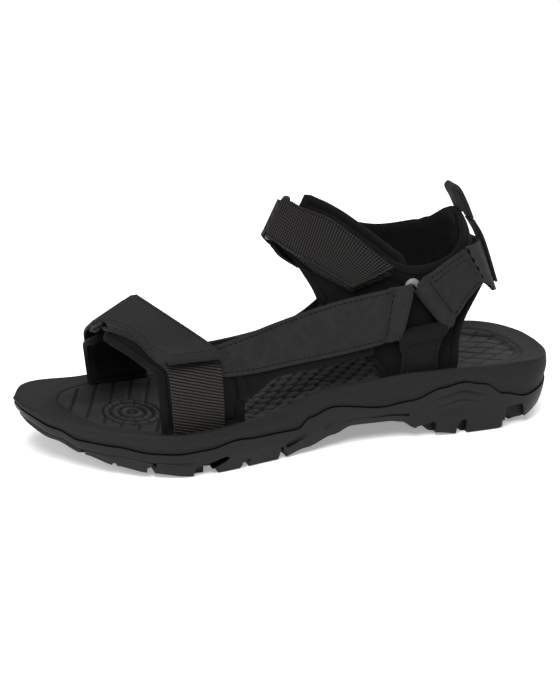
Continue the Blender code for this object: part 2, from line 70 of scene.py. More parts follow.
WAVE_LINE = ((-147, 22), (-124, 17.6), (-110, 21), (-98, 28), (-86, 30.3), (-74, 28.4), (-57, 23),
             (-40, 21), (-12, 24.5), (1, 21), (8, 15.8), (32, 16), (43, 17), (59, 14.5), (74, 13.7),
             (88, 14.4), (105, 17), (121, 18), (131, 22), (147, 27.5))
# The insert's edge, inside the flat rim.
INSERT_OUTER = ((-133, 0), (-131.5, 12), (-124, 24), (-108, 31.6), (-73, 33.4), (-23, 32), (14, 37),
                (50, 44.8), (75, 43.4), (95, 34), (112, 18), (121, 3), (124, -12))
INSERT_INNER = ((-133, 0), (-131.5, -12), (-123, -24.5), (-106, -31), (-58, -31), (-14, -31.4), (24, -38.4),
                (59, -45), (86, -45), (104, -40.5), (118, -28), (124, -12))
INSERT_LINES = 330
INSERT_COLUMNS = 120
INSERT_SIDES = 4.5
# The insert's figures: how high they are, how far apart they repeat, and where each kind gives way.
FIGURE_RISE = 0.8
TOE_RIB, TOE_NOTCH, TOE_GROOVE = 2.4, 1.6, 9.7
BALL_X, BALL_Y, BALL_REACH, BALL_RING, BALL_SPOKE = 88, 5, 14.8, 4.4, 24
SCALE_LENGTH, SCALE_ROW = 9.2, 4.8
HEEL_DIAMOND = 10.5
HEEL_FIGURES, BALL_FIGURES = -82, 54

# The straps, as in the frame.
WEBBING = 2.0
ANCHOR = 1.5
NUBUCK = 1.6
SLING = 1.5
NEOPRENE = 3.0
GAP = 0.3
RING_BAR = 1.45
TRIANGLE_BAR = 1.7
BAR_SPACING = 9.5
TAB_LIFT = 5.65
TAIL_STRAIGHT = 3.0
ANCHOR_INSET = 1.8
RING_PINCH = (2.0, 2.0)
FOREFOOT_STRAP = (((75, 44.5, 23.6), (48, 43.5, 23.6)), ((76.5, 46, 42), (49, 45.3, 42)),
                  ((78, 43.5, 57), (50.5, 43, 57)), ((83, 30.4, 60.6), (56.6, 28.4, 63.6)),
                  ((88.6, 14.5, 65.3), (68.8, 10.5, 71.4)), ((99.7, -6.9, 66), (76.8, -18.9, 73.8)))
FOREFOOT_NORMAL = (0.328, -0.012, 0.944)
FOREFOOT_ANCHOR = (((101, -43, 25.2), (74, -47, 24.6)), ((101.5, -42.5, 42), (74.5, -47, 42)),
                   ((104, -33, 56), (79, -41.5, 61)))
FOREFOOT_LEAN = 0.35
ANKLE_STRAP = (((-25.5, 27, 84), (-49.9, 23.2, 91.5)), ((-7, 20.7, 95.4), (-22.8, 6.7, 113.6)),
               ((1.6, 9.5, 102.4), (-11.6, 1.3, 121)), ((7, -3.6, 106.6), (-3.7, -6.1, 125.7)))
ANKLE_NORMAL = (0.82, 0.29, 0.5)
ANKLE_LEAN = 0.5
ANKLE_LINING_FOOT = (((-8, 26.5, 68), (-58, 23.5, 76)), ((-6, 28, 75.5), (-61, 24.5, 84)))
ANKLE_ANCHOR = (((-20, -31, 84.5), (-42, -30, 97)), ((-3, -28.5, 93), (-20, -29.5, 110)),
                ((7, -23.5, 102.4), (-5.5, -25.7, 118.3)))
SIDE_STRAP = (((54, 37.6, 65), (50.5, 42, 49.6)), ((49, 39.5, 66.5), (46.5, 44.3, 50)),
              ((34, 40.5, 71), (30, 43.6, 50.2)), ((12, 37.5, 76), (12, 41.8, 51.5)),
              ((-18, 33.2, 81), (-18, 38, 53)))
SIDE_LINING_END = (((-39, 30.3, 84), (-37, 35, 54)),)
INNER_SIDE_STRAP = (((71, 43.2, 36.5), (69, 45.4, 25)), ((66, 45.5, 37.5), (64, 47.2, 25.5)),
                    ((40, 42.3, 39), (40, 44.6, 26.5)), ((10, 38, 44), (13, 40.6, 30)),
                    ((-14, 34.8, 51.5), (-9, 37.6, 36.5)), ((-33, 32, 66), (-23, 35, 46)))
TRIANGLE = ((-58.3, 29, 89.2), (-49.8, 30.5, 55.6), (-82.5, 29.5, 59))
CORNER_ROUND = 2.6
SLING_STRAP = (((-51.6, 35.2, 35.6), (-72.6, 35.2, 35.6)), ((-52, 34.8, 38.6), (-73, 34.8, 38.8)),
               ((-52.2, 34.9, 47), (-73.6, 34.5, 49)))
SLING_LINING = (((-41, 32.6, 34.6), (-85, 31.6, 34.6)), ((-39.5, 31.4, 40), (-86.4, 30.6, 40)),
                ((-34, 31, 47), (-88, 27.2, 48)), ((-25, 30.5, 52.5), (-90, 25.4, 55)),
                ((-36, 27.6, 61), (-93, 24.2, 62)), ((-46, 25, 71), (-98.5, 23, 71)),
                ((-50, 24.4, 82), (-105, 19.5, 79)))
HEEL_STRAP = (((-91, 25.5, 100), (-103, 24, 80.5)), ((-77, 30, 94.5), (-91, 29.6, 72)))
HEEL_WEBBING = (((-92.6, 24.4, 101), (-104.4, 23, 80)), ((-101.5, 16.5, 100), (-113, 17, 73)),
                ((-109.5, 0, 98), (-119.5, 0, 69.5)))
HEEL_COLLAR = (((-46, 20, 99), (-50, 20.5, 80)), ((-60, 23.4, 93.2), (-62, 23.6, 77)),
               ((-76, 24, 94.7), (-82, 23.8, 74)), ((-88, 20, 101), (-95, 18.8, 79)),
               ((-93.5, 10.5, 112), (-101, 10.5, 89)), ((-95, 0, 116.5), (-100, 0, 95)))
INNER_COLLAR = (((-93.5, -10.5, 113.5), (-101, -10.5, 89)), ((-89, -20.5, 107), (-95, -19, 79)),
                ((-77, -25, 104), (-82, -23.8, 74)), ((-60, -25, 103.5), (-62, -23.6, 77)),
                ((-44, -24, 107), (-50, -22.5, 80)), ((-30, -26, 111), (-40, -25, 88)))
COLLAR = 6.0
SIDE_SEAM = 101
SLING_SEAM = 34
HEEL_SEAM = 49
PULL_WIDTH = 11.0
TAPE = 1.5
PULL_TAPE = ((-119.8, 73.5), (-111.1, 98.5), (-104.5, 110))
PULL_LOOP = ((-104.3, 110.6), (-100.3, 120), (-96.2, 127.6), (-92.8, 130.2), (-90.6, 127.4), (-94, 121),
             (-97, 114.5))

# The folded end and its fastening: how thick, and how far each tape lies over the strap's outer face.
FOLDED_WEBBING = 1.9
FASTENING = 1.6
HOOK_LIFT = 3.62
PILE_LIFT = 1.6
CLOSURE_ROWS = 97
ANCHOR_ROWS = 60
# How far a ring's side bars stand clear of the strap, and how far a lining runs on into the sole.
RING_CLEARANCE = 0.8
LINING_TUCK = 2.5
# How deep the inner linings lie behind their anchor straps, from the sole to the ring.
INNER_SINK = (2.3, 2.3, 2.6, 3.4, 4.4, 5.4, 6.4, 7.2, 7.8, 8)

# Stitches: length, breadth and rise, then the distance from one to the next.
STRAP_STITCH = ((2.1, 0.5, 0.36), 2.9)
PADDING_STITCH = ((2.0, 0.45, 0.4), 2.9)
TAPE_STITCH = ((1.7, 0.36, 0.3), 2.2)
# How far in from the edge a strap's seam and a padded piece's seam lie.
STRAP_SEAM = 2.3
PADDED_SEAM = 4.9


# Shader maths.


def plain(value):
    return value.socket if isinstance(value, Number) else value


class Number:
    """A number on a surface that can be added, multiplied and so on."""

    def __init__(self, finish, socket):
        self.finish = finish
        self.socket = socket

    def worked(self, operation, *values):
        made = self.finish.node("ShaderNodeMath", {"operation": operation}, dict(enumerate(values)))
        return Number(self.finish, made.outputs[0])

    def __add__(self, other):
        return self.worked("ADD", self, other)

    def __sub__(self, other):
        return self.worked("SUBTRACT", self, other)

    def __rsub__(self, other):
        return self.worked("SUBTRACT", other, self)

    def __mul__(self, other):
        return self.worked("MULTIPLY", self, other)

    __radd__ = __add__
    __rmul__ = __mul__

    def sine(self):
        return self.worked("SINE", self)

    def most(self, other):
        return self.worked("MAXIMUM", self, other)


def grey(value):
    return (value, value, value)


class Finish:
    """A procedural material on one principled shader."""

    def __init__(self, name, roughness, **constants):
        self.material = bpy.data.materials.new(name)
        self.material.use_nodes = True
        self.tree = self.material.node_tree
        self.shader = self.tree.nodes["Principled BSDF"]
        self.shader.inputs["Roughness"].default_value = roughness
        for key, value in constants.items():
            self.shader.inputs[key.replace("_", " ")].default_value = value

    def node(self, kind, settings=None, sockets=None):
        """A node of that type, with its settings set first and then its sockets."""
        made = self.tree.nodes.new(kind)
        for key, value in (settings or {}).items():
            if key == "stops":
                ramp = made.color_ramp
                while len(ramp.elements) < len(value):
                    ramp.elements.new(1)
                for stop, (at, colour) in zip(ramp.elements, value):
                    stop.position, stop.color = at, (*colour, 1)
            else:
                setattr(made, key, value)
        for key, value in (sockets or {}).items():
            value = plain(value)
            if isinstance(value, bpy.types.NodeSocket):
                self.tree.links.new(value, made.inputs[key])
            else:
                made.inputs[key].default_value = value
        return made

    def place(self):
        """The point on the piece, in millimetres."""
        where = self.node("ShaderNodeTexCoord").outputs["Object"]
        scaled = self.node("ShaderNodeVectorMath", {"operation": "SCALE"}, {0: where, "Scale": 1000})
        return scaled.outputs[0]

    def cloth(self):
        """How far along and across the cloth a point lies, in millimetres."""
        where = self.node("ShaderNodeUVMap", {"uv_map": "cloth"}).outputs[0]
        parts = self.node("ShaderNodeSeparateXYZ", sockets={0: where})
        return Number(self, parts.outputs[0]), Number(self, parts.outputs[1])

    def carried(self, attribute):
        """A number that the mesh carries for this finish."""
        return Number(self, self.node("ShaderNodeAttribute", {"attribute_name": attribute}).outputs["Fac"])

    def noise(self, size, detail=2.0, roughness=0.5):
        """Cloudy variation from 0 to 1 whose patches are about that many millimetres."""
        sockets = {"Vector": self.place(), "Scale": 1 / size, "Detail": detail, "Roughness": roughness}
        return Number(self, self.node("ShaderNodeTexNoise", sockets=sockets).outputs["Fac"])

    def cells(self, size):
        """The distance from the middle of a cell of about that many millimetres."""
        sockets = {"Vector": self.place(), "Scale": 1 / size}
        return Number(self, self.node("ShaderNodeTexVoronoi", sockets=sockets).outputs["Distance"])

    def colour(self, share, dark, light):
        """The surface's colour, from dark to light by that share."""
        mixed = self.node("ShaderNodeMix", {"data_type": "RGBA", "clamp_factor": True},
                          {0: share, 6: (*dark, 1), 7: (*light, 1)})
        self.tree.links.new(mixed.outputs[2], self.shader.inputs["Base Color"])

    def rough(self, value):
        self.tree.links.new(plain(value), self.shader.inputs["Roughness"])

    def relief(self, height, depth):
        """Fine relief of that depth in millimetres."""
        bump = self.node("ShaderNodeBump", sockets={"Height": height, "Distance": depth * MM})
        self.tree.links.new(bump.outputs[0], self.shader.inputs["Normal"])


def moulded_rubber():
    look = Finish("tread_rubber", 0.5, Specular_IOR_Level=0.22)
    grain, cloud = look.noise(0.5), look.noise(14, 3)
    look.colour(cloud * 0.6 + grain * 0.4, (0.0025, 0.0025, 0.0026), grey(0.0068))
    look.rough(0.43 + cloud * 0.16 + grain * 0.06)
    look.relief(grain * 0.7 + look.noise(3.5) * 0.6, 0.10)
    return look.material


def moulded_foam():
    """Foam with the fine pebbled skin that its mould leaves."""
    look = Finish("midsole_skin", 0.7, Specular_IOR_Level=0.18)
    pebble, grain, cloud = look.cells(0.9), look.noise(0.42), look.noise(18, 3)
    look.colour(grain * 0.7 + cloud * 0.45 - pebble * 0.25, grey(0.004), grey(0.0135))
    look.rough(0.56 + cloud * 0.14 + pebble * 0.12)
    look.relief(grain * 0.5 - pebble * 0.8, 0.2)
    return look.material


def grip_foam():
    """The insert: its raised figures are painted lighter, partly for rubbing and partly as a painted
    highlight, and are smoother than their grooves, which are painted near black as painted shade.
    """
    look = Finish("insert_foam", 0.7, Specular_IOR_Level=0.24)
    grain, cloud, raised = look.noise(0.5), look.noise(16, 3), look.carried("raised")
    # Colour follows the figures' height: light on top as rubbing and painted highlight, near black in the
    # grooves as painted shade.
    look.colour(raised * 1.25 + cloud * 0.2 + grain * 0.15 - 0.42, grey(0.0004), (0.022, 0.0215, 0.021))
    look.rough(0.72 - raised * 0.22 + grain * 0.1)
    look.relief(grain * 0.6 - look.cells(1.1) * 0.5, 0.14)
    return look.material


def napped_nubuck(name, dark, light):
    look = Finish(name, 0.86, Specular_IOR_Level=0.1, Sheen_Weight=0.03, Sheen_Roughness=0.5)
    nap, brushed, cloud = look.noise(0.35, 4, 0.7), look.noise(5, 4, 0.65), look.noise(26, 2)
    look.colour(nap * 0.5 + brushed * 0.7 + cloud * 0.3 - 0.25, dark, light)
    look.rough(0.78 + nap * 0.16)
    look.relief(nap * 0.8 + brushed * 0.35, 0.12)
    return look.material


def woven(name, rib, slant, depth, dark, light, crossing=1.3, grid=0.38):
    """Webbing whose ribs lie across it, that many millimetres apart and aslant by that share."""
    look = Finish(name, 0.8, Specular_IOR_Level=0.14, Sheen_Weight=0.02)
    along, across = look.cloth()
    wander = look.noise(9, 2) * 0.5
    ribs = ((along + across * slant + wander) * (2 * math.pi / rib)).sine() * 0.5 + 0.5
    threads = (across * (2 * math.pi / crossing)).sine() * 0.5 + 0.5
    twist = ((along * 0.7 + across) * (2 * math.pi / 0.55)).sine() * 0.5 + 0.5
    weave = ribs * (threads * grid + (1 - grid)) + twist * 0.12
    look.colour(weave * 1.15 + look.noise(0.6) * 0.2 - 0.3, dark, light)
    look.rough(0.84 - weave * 0.16)
    look.relief(weave + look.noise(0.5) * 0.15, depth)
    return look.material


def knitted():
    """The close knit that faces the padding."""
    look = Finish("padding_knit", 0.9, Specular_IOR_Level=0.08, Sheen_Weight=0.02, Sheen_Roughness=0.6)
    along, across = look.cloth()
    loops = ((along * (2 * math.pi / 0.95)).sine() * (across * (2 * math.pi / 0.75)).sine()) * 0.5 + 0.5
    cloud = look.noise(12, 3)
    look.colour(loops * 0.45 + cloud * 0.35 + look.noise(0.5) * 0.2, grey(0.001), grey(0.0055))
    look.rough(0.84 + cloud * 0.12)
    look.relief(loops + look.noise(0.7) * 0.3, 0.1)
    return look.material


def brushed_tape():
    """The soft half of the fastening: a cloud of fine loops."""
    look = Finish("loop_pile", 0.97, Specular_IOR_Level=0.1, Sheen_Weight=0.06)
    pile = look.cells(0.7) + look.noise(0.3, 4) * 0.6
    look.colour(pile * 0.7, grey(0.008), grey(0.03))
    look.relief(pile, 0.4)
    return look.material


def hooked_tape():
    """The stiff half of the fastening: rows of tiny hooks."""
    look = Finish("hook_rows", 0.6, Specular_IOR_Level=0.4)
    along, across = look.cloth()
    hooks = ((along * (2 * math.pi / 1.5)).sine() * (across * (2 * math.pi / 1.1)).sine()).most(0)
    look.colour(hooks * 0.8 + look.noise(2) * 0.2, grey(0.007), grey(0.035))
    look.relief(hooks, 0.7)
    return look.material


def ring_plastic(name, dark, light):
    look = Finish(name, 0.5, Specular_IOR_Level=0.25)
    cloud, grain = look.noise(5, 3), look.noise(0.4)
    look.colour(cloud * 0.7 + grain * 0.3, dark, light)
    look.rough(0.46 + cloud * 0.12 + grain * 0.06)
    look.relief(grain * 0.6 + cloud * 0.4, 0.06)
    return look.material


def sewing_thread():
    look = Finish("sewing_thread", 0.85, Specular_IOR_Level=0.05)
    twist = look.noise(0.3, 3)
    look.colour(twist, grey(0.001), grey(0.0035))
    look.relief(twist, 0.08)
    return look.material


# Making and finishing pieces.


def clear_selection():
    if bpy.context.mode != "OBJECT":
        bpy.ops.object.mode_set(mode="OBJECT")
    bpy.ops.object.select_all(action="DESELECT")


def only(piece):
    """Selects that piece alone, ready for an operator."""
    clear_selection()
    bpy.context.view_layer.objects.active = piece
    piece.select_set(True)


def named(name):
    """The primitive just added, under its own name."""
    piece = bpy.context.object
    piece.name = piece.data.name = name
    return piece


def fine_grid(name, rows, columns):
    """A flat grid with that many steps each way, and an array of its points to be moved."""
    clear_selection()
    bpy.ops.mesh.primitive_grid_add(x_subdivisions=rows, y_subdivisions=columns, size=1)
    piece = named(name)
    points = np.empty(len(piece.data.vertices) * 3, np.float32)
    piece.data.vertices.foreach_get("co", points)
    return piece, points.reshape(-1, 3)


def worked_in(piece, kind, **settings):
    """Works one modifier into the piece's mesh."""
    only(piece)
    modifier = piece.modifiers.new(kind.lower(), kind)
    for key, value in settings.items():
        setattr(modifier, key, value)
    bpy.ops.object.modifier_apply(modifier=modifier.name)


def smoothed(piece, degrees=35):
    only(piece)
    bpy.ops.object.shade_smooth_by_angle(angle=math.radians(degrees))

def faces_out():
    """Turns every face of the mesh being edited outwards, and ends the editing."""
    bpy.ops.mesh.select_all(action="SELECT")
    bpy.ops.mesh.normals_make_consistent(inside=False)
    bpy.ops.object.mode_set(mode="OBJECT")


def dressed(piece, look, slot, *nodes, body="sandal"):
    """Gives the piece its finish and its body, and hides the frame's nodes that it stands for. The slot is
    not used.
    """
    piece.data.materials.clear()
    piece.data.materials.append(look)
    if body:
        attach(piece, body)
    if nodes:
        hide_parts(*nodes)
    return piece


# Smooth lines through given points.


def through(points, place_on):
    """A point on the Catmull-Rom curve through the points, at a place from 0 to len(points) - 1."""
    last = len(points) - 1
    i = min(int(place_on), last - 1)
    t = place_on - i
    before = points[i - 1] if i > 0 else 2 * points[0] - points[1]
    after = points[i + 2] if i + 2 <= last else 2 * points[last] - points[last - 1]
    p, q = points[i], points[i + 1]
    return 0.5 * (2 * p + (q - before) * t + (2 * before - 5 * p + 4 * q - after) * t**2
                  + (3 * p - before - 3 * q + after) * t**3)


def evenly(points, count):
    """The curve through the points, as count points at equal distances along it."""
    fine = [through(points, k * (len(points) - 1) / 900) for k in range(901)]
    walked = [0.0]
    for before, after in zip(fine, fine[1:]):
        walked.append(walked[-1] + (after - before).length)
    result = []
    k = 0
    for i in range(count):
        wanted = walked[-1] * i / (count - 1)
        while k < 899 and walked[k + 1] < wanted:
            k += 1
        share = (wanted - walked[k]) / max(walked[k + 1] - walked[k], 1e-9)
        result.append(fine[k].lerp(fine[k + 1], min(max(share, 0), 1)))
    return result


def height(table, x):
    """The height at x on the line through the table, eased between its points."""
    if x <= table[0][0]:
        return table[0][1]
    for (x0, z0), (x1, z1) in zip(table, table[1:]):
        if x <= x1:
            t = (x - x0) / (x1 - x0)
            return z0 + (z1 - z0) * t * t * (3 - 2 * t)
    return table[-1][1]


def eased(low, high, value):
    """From 0 at low to 1 at high, smoothly."""
    t = min(max((value - low) / (high - low), 0), 1)
    return t * t * (3 - 2 * t)


def bell(middle, half, value):
    """1 at the middle, falling to 0 at half each side."""
    return 1 - eased(0, half, abs(value - middle))


# The sole.


def sole_outline():
    """Both halves of the outline, heel to toe and back, centred on the origin."""
    outer, inner = [evenly([Vector(((s - 0.5) * SOLE_LENGTH, y, 0)) for s, y in edge], HALF_STEPS + 1)
                    for edge in (OUTER_EDGE, INNER_EDGE)]
    loop = outer + inner[-2:0:-1]
    middle = Vector(((min(p.x for p in loop) + max(p.x for p in loop)) / 2,
                     (min(p.y for p in loop) + max(p.y for p in loop)) / 2, 0))
    return [p - middle for p in loop]


def insert_outline(inset):
    """The insert's edge in the same order as the sole's outline."""
    outer, inner = [evenly([Vector((x, y, 0)) for x, y in edge], HALF_STEPS + 1)
                    for edge in (INSERT_OUTER, INSERT_INNER)]
    return moved_in(outer + inner[-2:0:-1], inset)


def moved_in(outline, inset):
    count = len(outline)
    moved = []
    for i, point in enumerate(outline):
        along = (outline[(i + 1) % count] - outline[i - 1]).normalized()
        amount = inset(point) if callable(inset) else inset
        moved.append(point + Vector((along.y, -along.x, 0)) * amount)
    return moved


def at_level(outline, level):
    return [Vector((p.x, p.y, level(p.x))) for p in outline]


def ground(x):
    return height(GROUND_LINE, x)


def rim(x):
    return height(RIM_HEIGHT, x)


def thickness(x):
    return rim(x) - ground(x)


def wave(x):
    return min(height(WAVE_LINE, x), rim(x) - 3.2)


def rim_foot(x):
    return rim(x) - min(2.0, 0.1 * thickness(x))


def insert_top(x, edge_distance):
    """The insert's height before its figures are raised: flush at its edge and dished inside."""
    dish = 0.13 * thickness(x) - min(2.0, 0.1 * thickness(x)) + 0.2
    turned_down = 0.5 * (1 - eased(0, 1.2, edge_distance))
    return rim_foot(x) - 0.2 - dish * eased(0.5, 9.0, edge_distance) - turned_down


def ring_stack(name, rings):
    """A body whose wall is extruded ring by ring from a flat start, then closed across its end."""
    count = len(rings[0])
    half = count // 2
    clear_selection()
    bpy.ops.mesh.primitive_circle_add(vertices=count, radius=0.1, fill_type="NOTHING")
    body = named(name)
    for vert, point in zip(body.data.vertices, rings[0]):
        vert.co = point * MM
    bpy.ops.object.mode_set(mode="EDIT")
    bpy.ops.mesh.select_all(action="SELECT")
    for points in rings[1:]:
        bpy.ops.mesh.extrude_region_move()
        bm = bmesh.from_edit_mesh(body.data)
        bm.verts.ensure_lookup_table()
        for vert, point in zip(bm.verts[-count:], points):
            vert.co = point * MM
        bmesh.update_edit_mesh(body.data)
    bm = bmesh.from_edit_mesh(body.data)
    bm.verts.ensure_lookup_table()
    for first in (0, len(bm.verts) - count):
        row = [bm.verts[first + i] for i in range(count)]
        bm.faces.new((row[0], row[1], row[-1]))
        bm.faces.new((row[half - 1], row[half], row[half + 1]))
        for i in range(1, half - 1):
            bm.faces.new((row[i], row[i + 1], row[-i - 1], row[-i]))
    bmesh.update_edit_mesh(body.data)
    faces_out()
    return body


def midsole_wall(outline):
    """The foam body: a pebbled wall that swells below its rim, and a broad flat rim round the insert."""
    def swell(share, x):
        """The wall's inset at a share of the way from the rim down to the wave line."""
        bulge = 0.55 * math.sin(math.pi * min(share * 1.25, 1)) * eased(3, 12, rim(x) - wave(x))
        return 0.35 - bulge + 1.1 * share ** 2.2
    rings = [at_level(insert_outline(inset), lambda x, d=drop: rim_foot(x) - d)
             for inset, drop in ((0.7, 6.0), (0.25, 1.7), (-0.1, 0.5), (-0.7, 0.02))]
    edge, inner = moved_in(outline, 1.7), insert_outline(-0.7)
    for share in (0.2, 0.45, 0.7, 0.9):
        row = [a.lerp(b, share) for a, b in zip(inner, edge)]
        rings.append([Vector((p.x, p.y, rim_foot(p.x) + (rim(p.x) - rim_foot(p.x)) * share ** 1.3))
                      for p in row])
    for inset, drop in ((1.75, 0), (1.15, 0.14), (0.66, 0.42), (0.36, 0.86), (0.25, 1.4)):
        rings.append(at_level(moved_in(outline, inset), lambda x, d=drop: rim(x) - d))
    for share in (0.12, 0.25, 0.4, 0.55, 0.7, 0.82, 0.92, 1.0):
        rings.append(at_level(moved_in(outline, lambda p, s=share: swell(s, p.x)),
                              lambda x, s=share: rim(x) - 1.4 + (wave(x) + 0.5 - rim(x) + 1.4) * s))
    rings.append(at_level(moved_in(outline, 2.3), lambda x: wave(x) + 0.25))
    rings.append(at_level(moved_in(outline, 5.3), lambda x: ground(x) + 0.35 * thickness(x) + 0.15))
    return ring_stack("midsole_foam_body", rings)


def outsole_inset(x, below, share):
    """How far the outsole's wall stands back from the outline, with its moulded lines."""
    inset = 0.62 + 2.3 * share ** 2.4 + 0.25 * math.sin(math.pi * share)
    front = eased(62, 74, x)
    rear = bell(-84, 26, x)
    inset += 0.75 * bell(5.2, 0.75, below) * front
    inset += 0.6 * (bell(5.0, 0.8, below) + bell(9.8, 0.8, below)) * rear
    inset += 0.45 * eased(9.8, 11.5, below) * rear * (1 - eased(14, 17, below))
    inset -= 0.35 * eased(10, 30, x) * (1 - eased(40, 56, x)) * bell(6, 5, below)
    return inset


def outsole_wall(outline):
    """The rubber's outer wall, with its rings closer together where its lines are moulded."""
    below = (0.1, 0.3, 0.8, 1.5, 2.4, 3.4, 4.2, 4.7, 5.1, 5.5, 6.0, 6.8, 7.8, 8.8, 9.3, 9.7, 10.1, 10.6,
             11.6, 13, 15, 17.5, 20, 23)
    rings = [at_level(moved_in(outline, 5.0), lambda x: ground(x) + 0.35 * thickness(x) - 0.15),
             at_level(moved_in(outline, 1.7), lambda x: wave(x) - 0.05)]
    for k, drop in enumerate(below):
        def dropped(x, k=k, drop=drop):
            """How far this ring lies below the wave, and the height of the whole wall."""
            wall = wave(x) - ground(x) - 1.3
            return min(drop, wall * (k + 1) / len(below)), wall

        def inset(p, dropped=dropped):
            actual, wall = dropped(p.x)
            return outsole_inset(p.x, actual, actual / wall)
        ring = moved_in(outline, inset)
        rings.append([Vector((p.x, p.y, wave(o.x) - dropped(o.x)[0])) for p, o in zip(ring, outline)])
    for inset, rise in ((3.15, 0.55), (3.9, 0.08), (4.6, 0)):
        rings.append(at_level(moved_in(outline, inset), lambda x, r=rise: ground(x) + r))
    return ring_stack("outsole_tread", rings)


def cutter_block(corners, step):
    """A cutter that reaches by that step from a flat face with those corners."""
    clear_selection()
    bpy.ops.mesh.primitive_circle_add(vertices=len(corners), radius=0.01, fill_type="NGON")
    cutter = named("tread_cutter")
    for vert, corner in zip(cutter.data.vertices, corners):
        vert.co = Vector(corner) * MM
    bpy.ops.object.mode_set(mode="EDIT")
    bpy.ops.mesh.select_all(action="SELECT")
    bpy.ops.mesh.extrude_region_move(TRANSFORM_OT_translate={"value": [amount * MM for amount in step]})
    faces_out()
    return cutter


# Notches in the side of the tread, in the side view.
NOTCHES = (
    ((90.6, 1.0), (89.6, 5.6), (87.4, 9.4), (85.4, 9.0), (86.6, 5.4), (86.8, 1.0)),
    ((67.5, -1), (66.4, 3.4), (66.2, 5.4), (61.2, 6.6), (49.6, 9.4), (47.6, 8.6), (48.6, 6.8), (55, 4.0),
     (57.8, 3.2), (58.4, -1)),
    ((42, -1), (40.6, 1.6), (37.0, 5.0), (35.4, 4.4), (37.6, 1.4), (38, -1)),
    ((19.4, -1), (18.4, 2.6), (17.6, 7.6), (16.2, 7.4), (15.8, 3.4), (14.6, -1)),
    ((-60, 4), (-60.4, 7.0), (-69.4, 9.4), (-71.4, 8.2), (-72, 0)),
    ((-83, -1), (-83.6, 4.4), (-86, 8.6), (-88.8, 8.4), (-89.6, 4), (-90, -1)),
    ((-111.6, -1), (-112.2, 12.4), (-113.4, 13.0), (-120.6, 13.2), (-122.6, 12.6), (-125.4, 4), (-126, -1)),
    ((121, 9), (119.8, 12.6), (117.6, 12.2), (117.4, 8)),
    ((106.6, 4), (105.4, 8.2), (103.6, 8.0), (103.4, 3)),
)
# Long shallow slots in the side of the tread: their middle lines and half width.
SLOTS = (
    (((13.4, 8.0), (6, 11.0), (-2, 15.0), (-5.4, 16.6)), 1.5, 2.2),
    (((-20, 15.2), (-34, 15.8), (-47, 16.0), (-55, 15.0)), 0.7, 2.0),
    (((-8, 13.6), (-13, 15.8), (-17.6, 15.6)), 0.7, 1.6),
)


def slot_outline(middle, half):
    """The outline of a slot with rounded ends round its middle line, in the side view."""
    line = evenly([Vector((x, 0, z)) for x, z in middle], 9)
    sides = []
    for i, point in enumerate(line):
        along = (line[min(i + 1, 8)] - line[max(i - 1, 0)]).normalized()
        sides.append((point, Vector((-along.z, 0, along.x))))
    def cap(point, out, half):
        ahead = Vector((out.z, 0, -out.x))
        return [point + (out * math.cos(math.pi * k / 6) + ahead * math.sin(math.pi * k / 6)) * half
                for k in range(1, 6)]
    loop = [p + s * half for p, s in sides] + cap(*sides[-1], half)
    loop += [p - s * half for p, s in reversed(sides)] + cap(*sides[0], -half)
    return [(p.x, p.z) for p in loop]


def wall_at(outline, x, side):
    """How far out the sole's edge stands at x, on the outer side (1) or the inner side (-1)."""
    half = outline[:HALF_STEPS + 1] if side > 0 else outline[HALF_STEPS:] + outline[:1]
    near = min(half, key=lambda p: abs(p.x - x))
    return abs(near.y)


# Grooves across the tread: place, width and reach each way. They are bent like an arrow head.
CROSS_GROOVES = ((104, 3, 27), (88, 4, 60), (72.5, 3, 40), (57, 7, 60), (38, 4, 60), (26, 3, 33),
                 (16, 4, 60), (-66, 5, 60), (-76, 3, 28), (-86, 4.5, 60), (-98, 3, 28), (-114, 7, 60))
# Long grooves under the ball and the heel: where they start and end, and how far they lie to the side.
LONG_GROOVES = ((14, 100, 17), (14, 100, -19), (-122, -62, 9), (-122, -62, -9))


def cut_tread(outsole, outline):
    """Cuts the notches, the slots and the grooves under the sole."""
    cutters = []
    sideways = [(corners, sum(x for x, z in corners) / len(corners), 7.5) for corners in NOTCHES]
    sideways += [(slot_outline(line, half), line[1][0], deep) for line, half, deep in SLOTS]
    for corners, middle, deep in sideways:
        for side in (1, -1):
            reach = wall_at(outline, middle, side)
            low, high = sorted((side * (reach - deep), side * (reach + 6)))
            cutters.append(cutter_block([(x, low, z) for x, z in corners], (0, high - low, 0)))
    for x, width, reach in CROSS_GROOVES:
        bottom = ground(x) + 3.4 - 9
        front, rear = x + width / 2, x - width / 2
        bend = 7 if x > 0 else 4
        knee = reach * 0.6
        corners = [(front + bend, 0), (front, knee), (front, reach), (rear, reach), (rear, knee),
                   (rear + bend, 0), (rear, -knee), (rear, -reach), (front, -reach), (front, -knee)]
        cutters.append(cutter_block([(x, y, bottom) for x, y in corners], (0, 0, 9)))
    for first, last, y in LONG_GROOVES:
        top = max(ground(first), ground(last), ground((first + last) / 2)) + 1.0
        bottom = min(top, 2.8) - 7.5
        corners = [(first, y - 1.5), (last, y - 1.5), (last, y + 1.5), (first, y + 1.5)]
        cutters.append(cutter_block([(x, y, bottom) for x, y in corners], (0, 0, 7.5)))
    clear_selection()
    for cutter in cutters:
        cutter.select_set(True)
    bpy.context.view_layer.objects.active = cutters[0]
    bpy.ops.object.join()
    cutter = bpy.context.object
    worked_in(outsole, "BOOLEAN", operation="DIFFERENCE", object=cutter, solver="EXACT", use_self=True)
    bpy.data.objects.remove(cutter, do_unlink=True)
    return outsole


